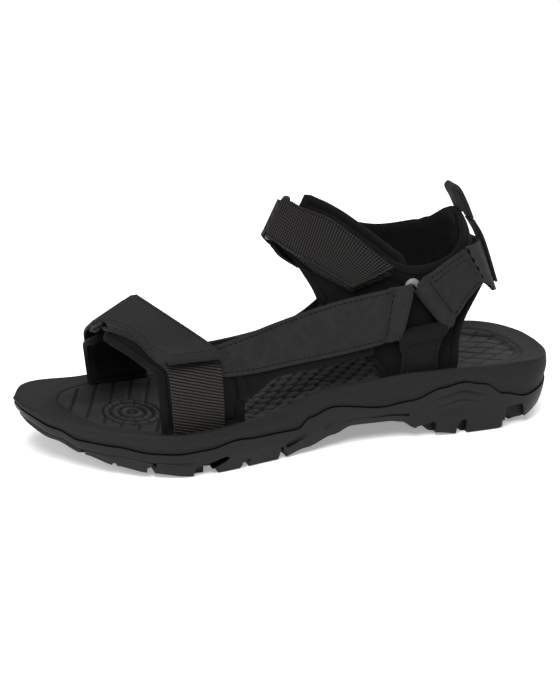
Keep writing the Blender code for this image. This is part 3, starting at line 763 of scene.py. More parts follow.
def figure_height(x, y):
    """The raised figures of the insert, from -1 in the grooves to 1 on top."""
    # Long shallow ribs and notched cross grooves under the toes.
    across, along = x - 0.33 * y, y + 0.33 * x
    toe = 0.2 + 0.3 * math.sin(2 * math.pi * along / TOE_RIB)
    notched = 0.8 + 0.35 * math.sin(2 * math.pi * along / TOE_NOTCH)
    toe -= 1.5 * bell(0, 1.2, (across + 2) % TOE_GROOVE - TOE_GROOVE / 2) * notched
    # Rings one inside the other under the ball of the foot.
    ball_reach = math.hypot(x - BALL_X, (y - BALL_Y) / 1.25)
    rings = 0.9 * math.cos(2 * math.pi * ball_reach / BALL_RING)
    spoke = (math.degrees(math.atan2(y - BALL_Y, x - BALL_X)) / BALL_SPOKE) % 1 * 6 - 3
    rings -= 1.1 * bell(0, 0.9, spoke) * eased(6, 8, ball_reach)
    # Overlapping scales through the waist.
    row = math.floor(y / SCALE_ROW)
    half_row = SCALE_ROW / 2
    shifted = (x + (row % 2) * SCALE_LENGTH / 2) / SCALE_LENGTH
    u = (shifted % 1 - 0.5) * SCALE_LENGTH
    v = y - row * SCALE_ROW - half_row
    scale_reach = math.hypot(u / 4.5, v / half_row)
    scales = 0.95 - 0.5 * scale_reach ** 2 - 0.35 * v / half_row - 1.5 * eased(0.78, 1.0, scale_reach)
    # Crossing grooves under the heel.
    p, q = (x * 0.62 + y) / HEEL_DIAMOND, (x * 0.62 - y) / HEEL_DIAMOND
    diamonds = 0.1 - 0.9 * max(bell(0, 0.09, (p + 0.5) % 1 - 0.5), bell(0, 0.09, (q + 0.5) % 1 - 0.5))
    heel = 1 - eased(HEEL_FIGURES - 2, HEEL_FIGURES + 2, x)
    front = eased(BALL_FIGURES - 2, BALL_FIGURES + 2, x)
    ball = 1 - eased(14.0, 15.0, ball_reach)
    figure = heel * diamonds + (1 - heel) * (1 - front) * scales + front * ((1 - ball) * toe + ball * rings)
    seam = bell(HEEL_FIGURES, 1.2, x) + bell(BALL_FIGURES, 1.2, x)
    seam += 1.4 * bell(BALL_REACH, 0.9, ball_reach) * front
    return max(-1.0, min(1.0, figure - seam))


def insert_body():
    """The insert: a fine grid between its two edges, raised into its figures, with its sides turned down."""
    outer = evenly([Vector((x, y, 0)) for x, y in INSERT_OUTER], 1400)
    inner = evenly([Vector((x, y, 0)) for x, y in INSERT_INNER], 1400)
    low_x, high_x = INSERT_OUTER[0][0], INSERT_OUTER[-1][0]
    ends = [0.0, 0.05, 0.2, 0.45, 0.8, 1.25, 1.8, 2.5]
    xs = [low_x + e for e in ends]
    xs += [low_x + 2.5 + (high_x - low_x - 5.0) * k / INSERT_LINES for k in range(1, INSERT_LINES)]
    xs += [high_x - e for e in reversed(ends)]
    edges = []
    for edge in (outer, inner):
        by_x = sorted(edge, key=lambda p: p.x)
        edges.append(np.interp(xs, [p.x for p in by_x], [p.y for p in by_x]))
    body, corner = fine_grid("footbed_insert", len(xs) - 1, INSERT_COLUMNS)
    raised = []
    for k, (gx, gy, _) in enumerate(corner):
        i = round((gx + 0.5) * (len(xs) - 1))
        share = gy + 0.5
        share = share - 0.045 * math.sin(4 * math.pi * share)
        x, outer_y, inner_y = xs[i], edges[0][i], edges[1][i]
        y = inner_y + (outer_y - inner_y) * share
        to_side = min(y - inner_y, outer_y - y)
        to_end = min(x - low_x, high_x - x)
        near = min(to_side * 0.92, to_end * 1.6) if to_end < 30 else to_side * 0.96
        plateau = eased(1.6, 3.4, near)
        figure = figure_height(x, y) * plateau
        raised.append(0.5 + 0.5 * figure if plateau > 0 else 0.5)
        corner[k] = (x * MM, y * MM, (insert_top(x, near) + FIGURE_RISE * figure) * MM)
    body.data.vertices.foreach_set("co", corner.reshape(-1))
    body.data.attributes.new("raised", "FLOAT", "POINT").data.foreach_set("value", raised)
    only(body)
    bpy.ops.object.mode_set(mode="EDIT")
    bpy.ops.mesh.select_all(action="SELECT")
    bpy.ops.mesh.remove_doubles(threshold=0.00001)
    bpy.ops.mesh.select_all(action="DESELECT")
    bpy.ops.mesh.select_mode(type="EDGE")
    bpy.ops.mesh.select_non_manifold(extend=False, use_boundary=True, use_wire=False,
                                     use_multi_face=False, use_non_contiguous=False, use_verts=False)
    bpy.ops.mesh.extrude_edges_move(TRANSFORM_OT_translate={"value": (0, 0, -INSERT_SIDES * MM)})
    bpy.ops.mesh.edge_face_add()
    faces_out()
    return body


def build_sole(looks):
    outline = sole_outline()
    for piece, degrees, look, slot, node in (
            (cut_tread(outsole_wall(outline), outline), 32, "rubber", "outsole_rubber", "outsole"),
            (midsole_wall(outline), 40, "foam", "midsole_foam", "midsole"),
            (insert_body(), 60, "insert", "footbed_foam", "footbed")):
        smoothed(piece, degrees)
        dressed(piece, looks[look], slot, node)


# Straps.


def rows_of(table, mirrored=False):
    """The table's rows as pairs of points, on the inner side of the foot if mirrored."""
    side = -1 if mirrored else 1
    return [tuple(Vector((x, y * side, z)) for x, y, z in row) for row in table]


def spaced(rows, count, start=0.0):
    """Rows at equal distances along the strap, from the start, a share of its length, to its end."""
    last = 1000
    fine = []
    for k in range(last + 1):
        place_on = k * (len(rows) - 1) / last
        fine.append((through([a for a, b in rows], place_on), through([b for a, b in rows], place_on)))
    walked = walked_along(fine)
    wanted = [walked[-1] * (start + (1 - start) * i / (count - 1)) for i in range(count)]
    nearest = np.searchsorted(walked, wanted)
    return [fine[min(int(k), last)] for k in nearest]


def out_from_foot(rows):
    """The way out from the foot at the strap's first row."""
    middle = (rows[0][0] + rows[0][1]) / 2
    return middle - Vector((max(-60, min(60, middle.x)), 0, 50))


def ways_out(rows, out=None):
    """One unit normal for each row, on the side that the first row faces out to."""
    mids = [(a + b) / 2 for a, b in rows]
    normals = []
    for i, (a, b) in enumerate(rows):
        along = mids[min(i + 1, len(rows) - 1)] - mids[max(i - 1, 0)]
        normals.append((b - a).cross(along).normalized())
    side = 1 if normals[0].dot(out or out_from_foot(rows)) > 0 else -1
    return [normal * side for normal in normals]


def layered(rows, up, lifts):
    """The rows lifted along normals that turn into the fold's own way out near the end."""
    moved = []
    last = len(rows) - 1
    for i, ((a, b), n, lift) in enumerate(zip(rows, ways_out(rows), each(lifts, rows))):
        n = n.lerp(up, eased(0.5, 0.97, i / last)).normalized()
        moved.append((a + n * lift, b + n * lift))
    return moved


def each(amount, rows):
    """The amount for every row: one number, a list, or a function of the share along the rows."""
    if callable(amount):
        return [amount(i / (len(rows) - 1)) for i in range(len(rows))]
    return amount if isinstance(amount, (list, tuple)) else [amount] * len(rows)


def lifted(rows, lifts):
    return [(a + n * lift, b + n * lift) for (a, b), n, lift in zip(rows, ways_out(rows), each(lifts, rows))]


def widened(rows, first, second):
    result = []
    for (a, b), grow_a, grow_b in zip(rows, each(first, rows), each(second, rows)):
        across = (b - a).normalized()
        result.append((a - across * grow_a, b + across * grow_b))
    return result


def rounded_end(radius, length):
    """How far the edge of a strap of that length draws in near its end, by the share along it."""
    def draw_in(share):
        near = max(radius - (1 - share) * length, 0)
        return -(radius - math.sqrt(max(radius ** 2 - near ** 2, 0)))
    return draw_in


def spread(values, count):
    """The values eased out evenly over that many rows."""
    last = len(values) - 1
    return [float(v) for v in np.interp(np.linspace(0, last, count), range(last + 1), values)]


def round_bar(rows, bar, radius, outwards, pinch=(0, 0), tail=None):
    """Rows that carry the strap half round a bar, then to the tail row if there is one."""
    steps = 16
    a_end, b_end = bar
    axis = (b_end - a_end).normalized()
    up = (outwards - axis * outwards.dot(axis)).normalized()
    last_a, last_b = rows[-1]
    ahead = (a_end + b_end - last_a - last_b) / 2
    ahead = (ahead - axis * ahead.dot(axis) - up * ahead.dot(up)).normalized()
    turned = []
    for i in range(steps + 1):
        angle = math.pi * i / steps
        share = math.sin(min(angle, math.pi / 2))
        shift = (up * math.cos(angle) + ahead * math.sin(angle)) * radius
        turned.append((a_end + axis * pinch[0] * share + shift, b_end - axis * pinch[1] * share + shift))
    if tail:
        a_turned, b_turned = turned[-1]
        for share in (0.34, 0.67, 1.0):
            step = ahead * TAIL_STRAIGHT * share
            turned.append((a_turned - step, b_turned - step))
        a_turned, b_turned = turned[-1]
        for share in (0.25, 0.5, 0.75, 1.0):
            turned.append((a_turned.lerp(tail[0], share), b_turned.lerp(tail[1], share)))
    return rows + turned


def looped(rows, bar, bar_radius, thick, outwards, count, back, pinch=(0, 0)):
    """A strap from its fixed end to a bar, round it and back inside itself by some rows."""
    radius = bar_radius + GAP + thick
    beside = tuple(point + outwards * radius for point in bar)
    run = spaced(rows + [beside], count)
    inside = lifted(run, -2 * thick - 0.7)[-1 - back]
    tail = widened([inside], -pinch[0], -pinch[1])[0]
    return round_bar(run[:-1], bar, radius, outwards, pinch=pinch, tail=tail)


def walked_along(rows):
    walked = [0.0]
    for (a0, b0), (a1, b1) in zip(rows, rows[1:]):
        walked.append(walked[-1] + (a1 + b1 - a0 - b0).length / 2)
    return walked


NARROW_STEPS = (0, 0.35, 0.9, 1.6)
SEAM_STEPS = (0, 0.3, 0.8, 1.4, 1.9, 2.3, 2.7, 3.3, 4.3)
PADDED_STEPS = (0, 0.5, 1.2, 2.1, 3.1, 4.0, 4.5, 4.9, 5.3, 5.9, 7.0)


def flat_lift(to_edge, to_end):
    return 0.0


def sewn_lift(to_edge, to_end):
    """Nubuck over a thin filling, pulled down along its seam."""
    near = min(to_edge, to_end)
    full = 0.42 * (1 - math.exp(-near / 2.6))
    return full - 0.42 * bell(2.3, 1.0, near) - 0.1 * (1 - eased(0, 1.1, near))


def padded_lift(to_edge, to_end):
    """Padding with a rolled edge, a seam behind it and a soft middle."""
    near = min(to_edge, to_end)
    roll = 0.85 * math.sin(math.pi * min(near / 4.7, 1)) if near < 4.7 else 0
    return roll - 0.5 * bell(4.9, 1.0, near) + 0.55 * eased(5, 10, near)


def sheet(name, rows, thick, steps=NARROW_STEPS, middle=8, lift=flat_lift, soften=0.35, out=None,
          open_ends=(0, 0), dips=()):
    """A band of cloth of that thickness laid on the rows, with its edges softened and dips sewn across it.

    The steps are the places of its lengthwise lines from each edge. A lift moves the outer face by
    the distances to the side edge and to the end, and an open end counts as that much further on.
    """
    normals = ways_out(rows, out)
    walked = walked_along(rows)
    length = walked[-1]
    columns = len(steps) * 2 + middle
    band, co = fine_grid(name, len(rows) - 1, columns - 1)
    mesh = band.data
    places = np.round((co[:, :2] + 0.5) * (len(rows) - 1, columns - 1)).astype(int)
    cloth = np.empty((len(co), 2), np.float32)
    for k, (i, j) in enumerate(places):
        a, b = rows[i]
        width = (b - a).length
        squeeze = min(1, width / (2.2 * steps[-1]))
        first = steps[-1] * squeeze
        if j < len(steps):
            across = steps[j] * squeeze
        elif j >= columns - len(steps):
            across = width - steps[columns - 1 - j] * squeeze
        else:
            across = first + (width - 2 * first) * (j - len(steps) + 1) / (middle + 1)
        to_end = min(walked[i] + open_ends[0], length - walked[i] + open_ends[1])
        rise = lift(min(across, width - across), to_end)
        rise -= sum(deep * bell(walked[dip], 3.4, walked[i]) for dip, deep in dips)
        co[k] = (a + (b - a) * (across / width) + normals[i] * rise) * MM
        cloth[k] = (walked[i], across)
    mesh.vertices.foreach_set("co", co.reshape(-1))
    uv = mesh.uv_layers[0] if mesh.uv_layers else mesh.uv_layers.new()
    uv.name = "cloth"
    corner_verts = np.empty(len(mesh.loops), np.int32)
    mesh.loops.foreach_get("vertex_index", corner_verts)
    uv.data.foreach_set("uv", cloth[corner_verts].reshape(-1))
    mesh.update()
    middle_face = mesh.polygons[len(mesh.polygons) // 2 % (len(rows) - 1)]
    if middle_face.normal.dot(normals[min(places[middle_face.vertices[0]][0], len(rows) - 1)]) < 0:
        mesh.flip_normals()
    worked_in(band, "SOLIDIFY", thickness=thick * MM, offset=-1)
    worked_in(band, "BEVEL", width=soften * MM, segments=2, limit_method="ANGLE",
              angle_limit=math.radians(55))
    smoothed(band, 50)
    return band


def edge_seam(rows, side, inset, lift=0.0, start=0, stop=None):
    """The points and ways out along one edge of a strap, that far in from it."""
    line = []
    normals = ways_out(rows)
    for (a, b), n in list(zip(rows, normals))[start:stop]:
        across = (b - a).normalized()
        point = a + across * inset if side == "a" else b - across * inset
        line.append((point + n * lift, n))
    return line


def cross_seam(rows, index, inset_a, inset_b, lift=0.0):
    """The points and ways out straight across a strap at one of its rows."""
    a, b = rows[index]
    n = ways_out(rows)[index]
    across = (b - a).normalized()
    start, stop = a + across * inset_a, b - across * inset_b
    return [(start.lerp(stop, k / 8) + n * lift, n) for k in range(9)]


def seam_places(line, pitch):
    """Where each stitch lies and how it is turned, along a line of points and ways out."""
    walked = [0.0]
    for (p, _), (q, _) in zip(line, line[1:]):
        walked.append(walked[-1] + (q - p).length)
    count = max(int(walked[-1] / pitch), 1)
    margin = (walked[-1] - (count - 1) * pitch) / 2
    places = []
    for k in range(count):
        wanted = margin + k * pitch
        i = min(int(np.searchsorted(walked, wanted)), len(line) - 1) or 1
        share = (wanted - walked[i - 1]) / max(walked[i] - walked[i - 1], 1e-9)
        (p, n), (q, m) = line[i - 1], line[i]
        along = (q - p).normalized()
        up = n.lerp(m, share)
        up = (up - along * up.dot(along)).normalized()
        turn = Matrix((along, up.cross(along), up)).transposed().to_4x4()
        places.append(Matrix.Translation(p.lerp(q, share) * MM) @ turn)
    return places


def stitched(name, stitch, seams, looks, slot, body="sandal"):
    """The stitches of one strap, copied from a single stitch along its seams and kept as one piece."""
    size, pitch = stitch
    clear_selection()
    bpy.ops.mesh.primitive_uv_sphere_add(segments=6, ring_count=5, radius=0.5 * MM)
    thread = named(name)
    bpy.ops.object.mode_set(mode="EDIT")
    bpy.ops.mesh.select_all(action="SELECT")
    bpy.ops.transform.rotate(value=math.pi / 2, orient_axis="Y", center_override=(0, 0, 0))
    bpy.ops.transform.resize(value=size, center_override=(0, 0, 0))
    bpy.ops.object.mode_set(mode="OBJECT")
    bm = bmesh.new()
    for line in seams:
        for place in seam_places(line, pitch):
            before = len(bm.verts)
            bm.from_mesh(thread.data)
            bm.verts.ensure_lookup_table()
            bmesh.ops.transform(bm, matrix=place, verts=bm.verts[before:])
    for face in bm.faces:
        face.smooth = True
    bm.to_mesh(thread.data)
    bm.free()
    dressed(thread, looks["thread"], slot, body=body)


def rounded_loop(corners, radius):
    """A closed loop of points through the corners, each rounded off with an arc."""
    steps = 8
    points = []
    count = len(corners)
    for i, corner in enumerate(corners):
        before = (corners[i - 1] - corner).normalized()
        after = (corners[(i + 1) % count] - corner).normalized()
        half = before.angle(after) / 2
        centre = corner + (before + after).normalized() * (radius / math.sin(half))
        start = (corner + before * (radius / math.tan(half)) - centre).normalized()
        stop = (corner + after * (radius / math.tan(half)) - centre).normalized()
        for k in range(steps + 1):
            points.append(centre + start.slerp(stop, k / steps) * radius)
    return points


def moulded_ring(name, points, radius, facing):
    """A closed ring of slightly flattened bar, with a fine parting line round it."""
    around, flattened, parting = 20, 0.92, 1.035
    clear_selection()
    bpy.ops.mesh.primitive_torus_add(major_segments=len(points), minor_segments=around,
                                     major_radius=0.02, minor_radius=0.002)
    ring = named(name)
    count = len(points)
    for i, point in enumerate(points):
        along = (points[(i + 1) % count] - points[i - 1]).normalized()
        side = along.cross(facing).normalized()
        for j in range(around):
            angle = 2 * math.pi * j / around
            reach = radius * (parting if j % (around // 2) == 0 else 1.0)
            offset = side * math.cos(angle) * reach + facing * math.sin(angle) * radius * flattened
            ring.data.vertices[i * around + j].co = (point + offset) * MM
    only(ring)
    bpy.ops.object.mode_set(mode="EDIT")
    faces_out()
    smoothed(ring, 60)
    return ring


def build_closure(prefix, guide, normal, leaning, anchor, tab_stop, curl, looks, weave):
    """A strap that passes round the free bar of a ring and folds back on itself."""
    base = spaced(rows_of(guide), CLOSURE_ROWS)
    end_a, end_b = base[-1]
    up = Vector(normal).normalized()
    across = (end_b - end_a).normalized()
    ahead = across.cross(up)
    ahead = -ahead if ahead.y > 0 else ahead
    bar_lift = up * (TAB_LIFT - WEBBING) / 2
    free_bar = (end_a + bar_lift, end_b + bar_lift)
    body, flap = "sandal", prefix + "_flap"

    # The strap starts a little inside the sole.
    (a, b), (c, d) = base[:2]
    lower = sheet(prefix + "_lower_webbing", [(a + (a - c) * 3, b + (b - d) * 3)] + base, WEBBING)
    dressed(lower, looks[weave[0]], "webbing", prefix + "_webbing")

    # The turn round the bar and the folded end are one band, whose free end is lifted a little.
    wrap = RING_BAR + GAP + WEBBING
    turn = round_bar(layered(base, up, -WEBBING)[:-1], free_bar, wrap, -up, RING_PINCH)[len(base) - 1:]
    curls = [curl * (1 - eased(tab_stop, tab_stop + 7, i)) for i in range(CLOSURE_ROWS)]
    top = layered(base, up, [TAB_LIFT + lift for lift in curls])
    folded = turn + top[-3:tab_stop - 1 if tab_stop else None:-1]
    tab = sheet(prefix + "_folded_webbing", folded, FOLDED_WEBBING, out=-up, soften=0.45)
    start = (end_a + end_b) / 2 + up * TAB_LIFT
    start * MM
    (start - ahead * 4.5) * MM
    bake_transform(tab)
    dressed(tab, looks[weave[1]], "webbing", prefix + "_tab", body=None)

    grip = slice(-6, tab_stop + 3, -1)
    for name, look, lift, inset, rides_on, slot, node in (
            ("_hooks", "hook", HOOK_LIFT, 0.5, flap, "hook_tape", "_hook_patch"),
            ("_pile", "pile", PILE_LIFT, 0.6, body, "loop_tape", "_loop_patch")):
        rows = widened(layered(base, up, lift)[grip][::-1], -inset, -inset)
        dressed(sheet(prefix + name, rows, FASTENING), looks[look], slot, prefix + node, body=rides_on)

    # Stitches hold the hook tape to the folded end.
    sewn = top[tab_stop:-5]
    seams = [cross_seam(sewn, 3, 2, 2, 0.02)] + [edge_seam(sewn, side, 1.6, 0.02, 3) for side in "ab"]
    stitched(prefix + "_tab_stitching", TAPE_STITCH, seams, looks, "webbing", flap)

    lean = (ahead - up * leaning).normalized()
    clear = across * (RING_BAR + RING_CLEARANCE - RING_PINCH[0])
    drop = lean * BAR_SPACING
    corners = [free_bar[0] - clear, free_bar[1] + clear, free_bar[1] + clear + drop,
               free_bar[0] - clear + drop]
    facing = across.cross(lean)
    facing = -facing if facing.dot(up) < 0 else facing
    rounded = rounded_loop(corners, 2.2)
    loop = []
    for p, q in zip(rounded, rounded[1:] + rounded[:1]):
        loop += [p, p.lerp(q, 0.5)] if (q - p).length > 3 else [p]
    ring = moulded_ring(prefix + "_moulded_ring", loop, RING_BAR, facing.normalized())
    dressed(ring, looks["dark_plastic"], "ring_plastic", prefix + "_ring")

    # The anchor strap comes up to the fixed bar, turns round it and is sewn to itself.
    fixed_bar = (free_bar[0] + drop + across * ANCHOR_INSET, free_bar[1] + drop - across * ANCHOR_INSET)
    anchor = rows_of(anchor)
    above_bar = tuple(p + facing * (RING_BAR + GAP + ANCHOR) for p in fixed_bar)
    climb = spaced(anchor + [above_bar], ANCHOR_ROWS)
    rows = looped(anchor, fixed_bar, RING_BAR, ANCHOR, facing, ANCHOR_ROWS, 12)
    dressed(sheet(prefix + "_ring_anchor", rows, ANCHOR), looks[weave[0]], "webbing", prefix + "_anchor")
    seams = [cross_seam(climb, row, 2, 2, 0.05) for row in (46, 43)]
    stitched(prefix + "_anchor_stitching", TAPE_STITCH, seams, looks, "webbing")
    return base, climb


def lining(name, rows, looks, node, seam_inset=PADDED_SEAM, steps=PADDED_STEPS, seams="ab", ends=(0, 0)):
    """A padded lining with a rolled edge and a seam behind it."""
    pad = sheet(name, rows, NEOPRENE, steps=steps, middle=6, lift=padded_lift, soften=1.1, open_ends=ends)
    dressed(pad, looks["knit"], "neoprene", node)
    seams = [edge_seam(rows, side, seam_inset, -0.32, 4, -4) for side in seams]
    stitched(name + "_stitching", PADDING_STITCH, seams, looks, "neoprene")


def tucked(row):
    """A row moved down into the sole."""
    return [tuple(p - UP * LINING_TUCK for p in row)]


def build_forefoot(looks):
    base, climb = build_closure("forefoot", FOREFOOT_STRAP, FOREFOOT_NORMAL, FOREFOOT_LEAN,
                                FOREFOOT_ANCHOR, 34, 1.2, looks, ("ribbed", "twill"))
    run = spaced(base, 90)
    pad = tucked(run[0]) + lifted(run, -WEBBING - 0.5)[:-2]

    def front_edge(share):
        return 6.2 + rounded_end(9, 95)(share) + 2.4 * bell(0.72, 0.26, share)

    def rear_edge(share):
        return 11.5 + 1.5 * bell(0.2, 0.12, share) - 13 * eased(0.26, 0.38, share)
    lining("forefoot_outer_padding", widened(pad, front_edge, rear_edge), looks, "forefoot_lining_outer")
    pad = lifted(climb, [-sink for sink in spread(INNER_SINK, ANCHOR_ROWS)])[:-4]
    pad = widened(tucked(pad[0]) + pad, lambda s: 0.5 + 5 * s + rounded_end(8, 46)(s),
                  lambda s: 7 + rounded_end(6, 46)(s))
    lining("forefoot_inner_padding", pad, looks, "forefoot_lining_inner")


def build_ankle(looks):
    base, climb = build_closure("ankle", ANKLE_STRAP, ANKLE_NORMAL, ANKLE_LEAN,
                                ANKLE_ANCHOR, 0, 0.3, looks, ("ribbed", "grid"))
    end, inner_end = rounded_end(6, 62), rounded_end(5, 44)
    pad = layered(spaced(base, 80), Vector(ANKLE_NORMAL).normalized(), -WEBBING - 0.5)[:-2]
    pad = widened(pad, lambda s: 19 - 17 * eased(-0.2, 0.9, s) + end(s),
                  lambda s: 12.5 - 5 * eased(0.45, 1, s) + end(s))
    pad = spaced(rows_of(ANKLE_LINING_FOOT) + pad[4::5], 110)
    lining("ankle_outer_padding", pad, looks, "ankle_lining_outer", ends=(20, 0))
    pad = lifted(climb, [-sink for sink in spread(INNER_SINK, ANCHOR_ROWS)])
    pad = widened(pad, spread((6, 5, 4, 3, 2, 1, 1, 1, 1, 1), ANCHOR_ROWS), 3.5)[:-4]
    lining("ankle_inner_padding", widened(pad, inner_end, inner_end), looks, "ankle_lining_inner")


def build_side(suffix, mirrored, looks):
    """Everything that hangs on one triangle ring."""
    side = -1 if mirrored else 1
    out = Vector((0, side, 0))
    apex, front, rear = (Vector((x, y * side, z)) for x, y, z in TRIANGLE)

    def strap(kind, table, look, thick, bar, row_counts, pinch, middle, dip, ends, seams):
        """A nubuck strap looped round part of one leg of the ring and sewn to itself."""
        start, end, first, last = bar
        bar = (start.lerp(end, first), start.lerp(end, last))
        rows = looped(rows_of(table, mirrored), bar, TRIANGLE_BAR, thick, out, *row_counts, pinch)
        band = sheet(f"{kind}_nubuck_{suffix}", rows, thick, steps=SEAM_STEPS, middle=middle,
                     lift=sewn_lift, soften=0.5, open_ends=ends, dips=(dip,))
        dressed(band, looks[look], "nubuck", f"{kind}_strap_{suffix}")
        lines = [edge_seam(rows, *seam) if isinstance(seam[0], str) else cross_seam(rows, *seam)
                 for seam in seams]
        stitched(f"{kind}_stitching_{suffix}", STRAP_STITCH, lines, looks, "nubuck")

    ring = moulded_ring("triangle_" + suffix, rounded_loop([apex, front, rear], CORNER_ROUND),
                        TRIANGLE_BAR, out)
    dressed(ring, looks["plastic"], "ring_plastic", "triangle_ring_" + suffix)

    side_table = INNER_SIDE_STRAP if mirrored else SIDE_STRAP
    strap("side", side_table, "nubuck", NUBUCK, (apex, front, 0.1, 0.99), (110, 8), (3.2, 2.4), 10,
          (SIDE_SEAM, 1.5), (20, 20),
          (("a", STRAP_SEAM, -0.12, 2, 100), ("b", STRAP_SEAM, -0.12, 2, 100),
           (SIDE_SEAM, 3.0, 3.0, -1.0), (8, 3.4, 3.4, 0.3)))
    behind = rows_of(side_table if mirrored else side_table + SIDE_LINING_END, mirrored)
    pad = lifted(spaced(behind, 90, 0.1), -NUBUCK - 0.4)
    pad = widened(pad, -1, 1.0 if mirrored else lambda s: 4.6 + 8.5 * (1 - eased(0, 0.32, s)))
    lining("side_padding_" + suffix, pad, looks, "side_lining_" + suffix, seams="b", seam_inset=2.0,
           steps=PADDED_STEPS[:5])

    # The sling takes the darker nubuck copy, which is painted shade.
    strap("sling", SLING_STRAP, "sling", SLING, (front, rear, 0.03, 0.9), (44, 8), (3, 0.6), 6,
          (SLING_SEAM, 1.1), (20, 20),
          ((SLING_SEAM, 2.5, 2.5, -0.7), ("a", STRAP_SEAM, -0.12, 4, SLING_SEAM),
           ("b", STRAP_SEAM, -0.12, 4, SLING_SEAM)))
    lining("sling_padding_" + suffix, spaced(rows_of(SLING_LINING, mirrored), 60), looks,
           "sling_lining_" + suffix, ends=(20, 0))

    strap("heel", HEEL_STRAP, "nubuck", NUBUCK, (apex, rear, 0.12, 0.96), (60, 12), (3.4, 0.8), 8,
          (HEEL_SEAM, 1.5), (0, 20),
          (("a", STRAP_SEAM, -0.12, 4, HEEL_SEAM), ("b", STRAP_SEAM, -0.12, 4, HEEL_SEAM),
           ("a", 5.0, 0.33, 4, HEEL_SEAM), (HEEL_SEAM, 3.0, 3.0, -1.0), (5, 3.4, 3.4, 0.0)))


def full_round(table):
    rows = rows_of(table)
    return rows + [tuple(Vector((p.x, -p.y, p.z)) for p in row) for row in reversed(rows[:-1])]


def tape_rows(line):
    half = PULL_WIDTH / 2
    return [(Vector((x, half, z)), Vector((x, -half, z))) for x, z in line]


def collar_lift(to_edge, to_end):
    """The heel collar is stuffed full, with a seam along each edge."""
    return 3.2 * math.sqrt(max(1 - (1 - min(to_edge / 8, 1)) ** 2, 0)) - 0.7 * bell(4.9, 1.0, to_edge)


def build_heel(looks):
    band = sheet("heel_round_webbing", spaced(full_round(HEEL_WEBBING), 130), WEBBING, middle=12)
    dressed(band, looks["ribbed"], "webbing", "heel_webbing")
    rows = spaced(rows_of(HEEL_COLLAR) + rows_of(INNER_COLLAR), 170)
    rows = widened(rows, rounded_end(8, 190), rounded_end(6, 190))
    collar = sheet("heel_collar_padding", rows, COLLAR, steps=PADDED_STEPS, middle=8, lift=collar_lift,
                   soften=1.9, dips=((104, 1.6), (112, 1.6)))
    dressed(collar, looks["knit"], "neoprene", "heel_collar")
    seams = [edge_seam(rows, side, PADDED_SEAM, 2.3, 3, -3) for side in "ab"]
    stitched("heel_collar_stitching", PADDING_STITCH, seams, looks, "neoprene")
    tape = sheet("heel_tape_webbing", spaced(tape_rows(PULL_TAPE), 50), TAPE, middle=4)
    dressed(tape, looks["narrow"], "webbing", "heel_tape")
    loop = sheet("pull_loop_webbing", spaced(tape_rows(PULL_LOOP), 90), TAPE, middle=4)
    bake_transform(loop)
    dressed(loop, looks["narrow"], "webbing", "pull_loop", body=None)


# The studio.


# The lamps: where they stand, their width in metres and their power. All face the sandal.
LAMPS = {"key": ((0.35, 0.85, 1.2), 0.8, 19), "top": ((-0.1, -0.2, 1.5), 1.2, 8),
         "toe": ((1.3, 0.5, 0.7), 0.7, 7), "back": ((-0.9, -0.9, 0.9), 0.8, 5)}
AIM = Vector((0, 0, 0.05))
AZIMUTH, ELEVATION, DISTANCE = math.radians(161.741), math.radians(18.89), 1.0
LENS, SENSOR, SHIFT_X, SHIFT_Y = 95.9, 36, -0.0109, -0.0129


def set_up(name, data, where, facing):
    """A lamp or camera that stands there and looks that way."""
    holder = bpy.data.objects.new(name, data)
    holder.location = where
    holder.rotation_euler = facing.to_track_quat("-Z", "Y").to_euler()
    bpy.context.scene.collection.objects.link(holder)
    return holder


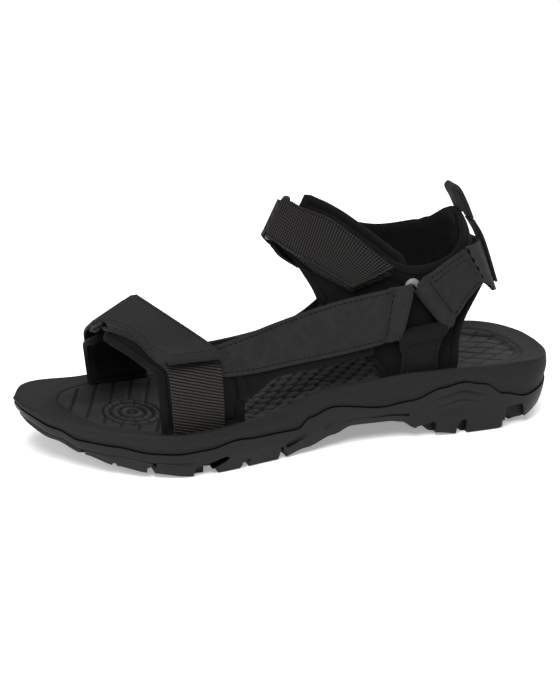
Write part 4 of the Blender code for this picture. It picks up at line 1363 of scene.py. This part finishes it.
def studio():
    scene = bpy.context.scene
    clear_selection()
    bpy.ops.mesh.primitive_circle_add(vertices=96, radius=0.95, fill_type="NGON")
    floor = named("studio_floor")
    paper = Finish("studio_paper", 0.9, Specular_IOR_Level=0.1, Emission_Color=(1, 1, 1, 1),
                   Emission_Strength=0.3)
    paper.colour(paper.noise(60), grey(0.93), grey(0.95))
    floor.data.materials.append(paper.material)

    # The backdrop is white to the eye and dimmer as a light.
    world = bpy.data.worlds.new("studio_light")
    world.use_nodes = True
    tree = world.node_tree
    dim, white = tree.nodes["Background"], tree.nodes.new("ShaderNodeBackground")
    for backdrop, strength in ((dim, 0.36), (white, 1.0)):
        backdrop.inputs["Color"].default_value = (1, 1, 1, 1)
        backdrop.inputs["Strength"].default_value = strength
    either = tree.nodes.new("ShaderNodeMixShader")
    seen = tree.nodes.new("ShaderNodeLightPath").outputs["Is Camera Ray"]
    for source, socket in ((seen, 0), (dim.outputs[0], 1), (white.outputs[0], 2)):
        tree.links.new(source, either.inputs[socket])
    tree.links.new(either.outputs[0], tree.nodes["World Output"].inputs[0])
    scene.world = world
    for name, (where, size, power) in LAMPS.items():
        lamp = bpy.data.lights.new(name, "AREA")
        lamp.shape = "DISK"
        lamp.size = size
        lamp.energy = power
        set_up(name, lamp, where, AIM - Vector(where))

    back = Vector((math.sin(AZIMUTH) * math.cos(ELEVATION), -math.cos(AZIMUTH) * math.cos(ELEVATION),
                   math.sin(ELEVATION)))
    camera = bpy.data.cameras.new("camera")
    camera.lens, camera.sensor_width = LENS, SENSOR
    camera.shift_x, camera.shift_y = SHIFT_X, SHIFT_Y
    scene.camera = set_up("camera", camera, AIM + back * DISTANCE, -back)
    scene.view_settings.view_transform = "Standard"


def main():
    studio()
    looks = {
        "rubber": moulded_rubber(),
        "foam": moulded_foam(),
        "insert": grip_foam(),
        "nubuck": napped_nubuck("nubuck_nap", (0.006, 0.006, 0.0061), grey(0.024)),
        # The sling's nubuck is the strap nubuck painted about three times darker, as painted shade.
        "sling": napped_nubuck("sling_nubuck_painted_shade", grey(0.002), grey(0.0078)),
        "ribbed": woven("ribbed_webbing", 1.7, 0.3, 0.55, grey(0.0006), (0.05, 0.046, 0.04)),
        "twill": woven("twill_webbing", 1.0, -0.6, 0.16, (0.003, 0.003, 0.0029), (0.02, 0.0196, 0.019), 0.9),
        "grid": woven("grid_webbing", 1.35, 0.05, 0.4, grey(0.001), (0.036, 0.0335, 0.0305), 1.5, 0.75),
        "narrow": woven("narrow_webbing", 1.1, 0.5, 0.18, grey(0.006), (0.025, 0.024, 0.023), 1.0),
        "knit": knitted(),
        "hook": hooked_tape(),
        "pile": brushed_tape(),
        "plastic": ring_plastic("grey_plastic", (0.12, 0.12, 0.122), (0.19, 0.19, 0.188)),
        "dark_plastic": ring_plastic("dark_plastic", grey(0.003), grey(0.008)),
        "thread": sewing_thread(),
    }
    build_sole(looks)
    build_forefoot(looks)
    build_ankle(looks)
    build_side("outer", False, looks)
    build_side("inner", True, looks)
    build_heel(looks)


main()
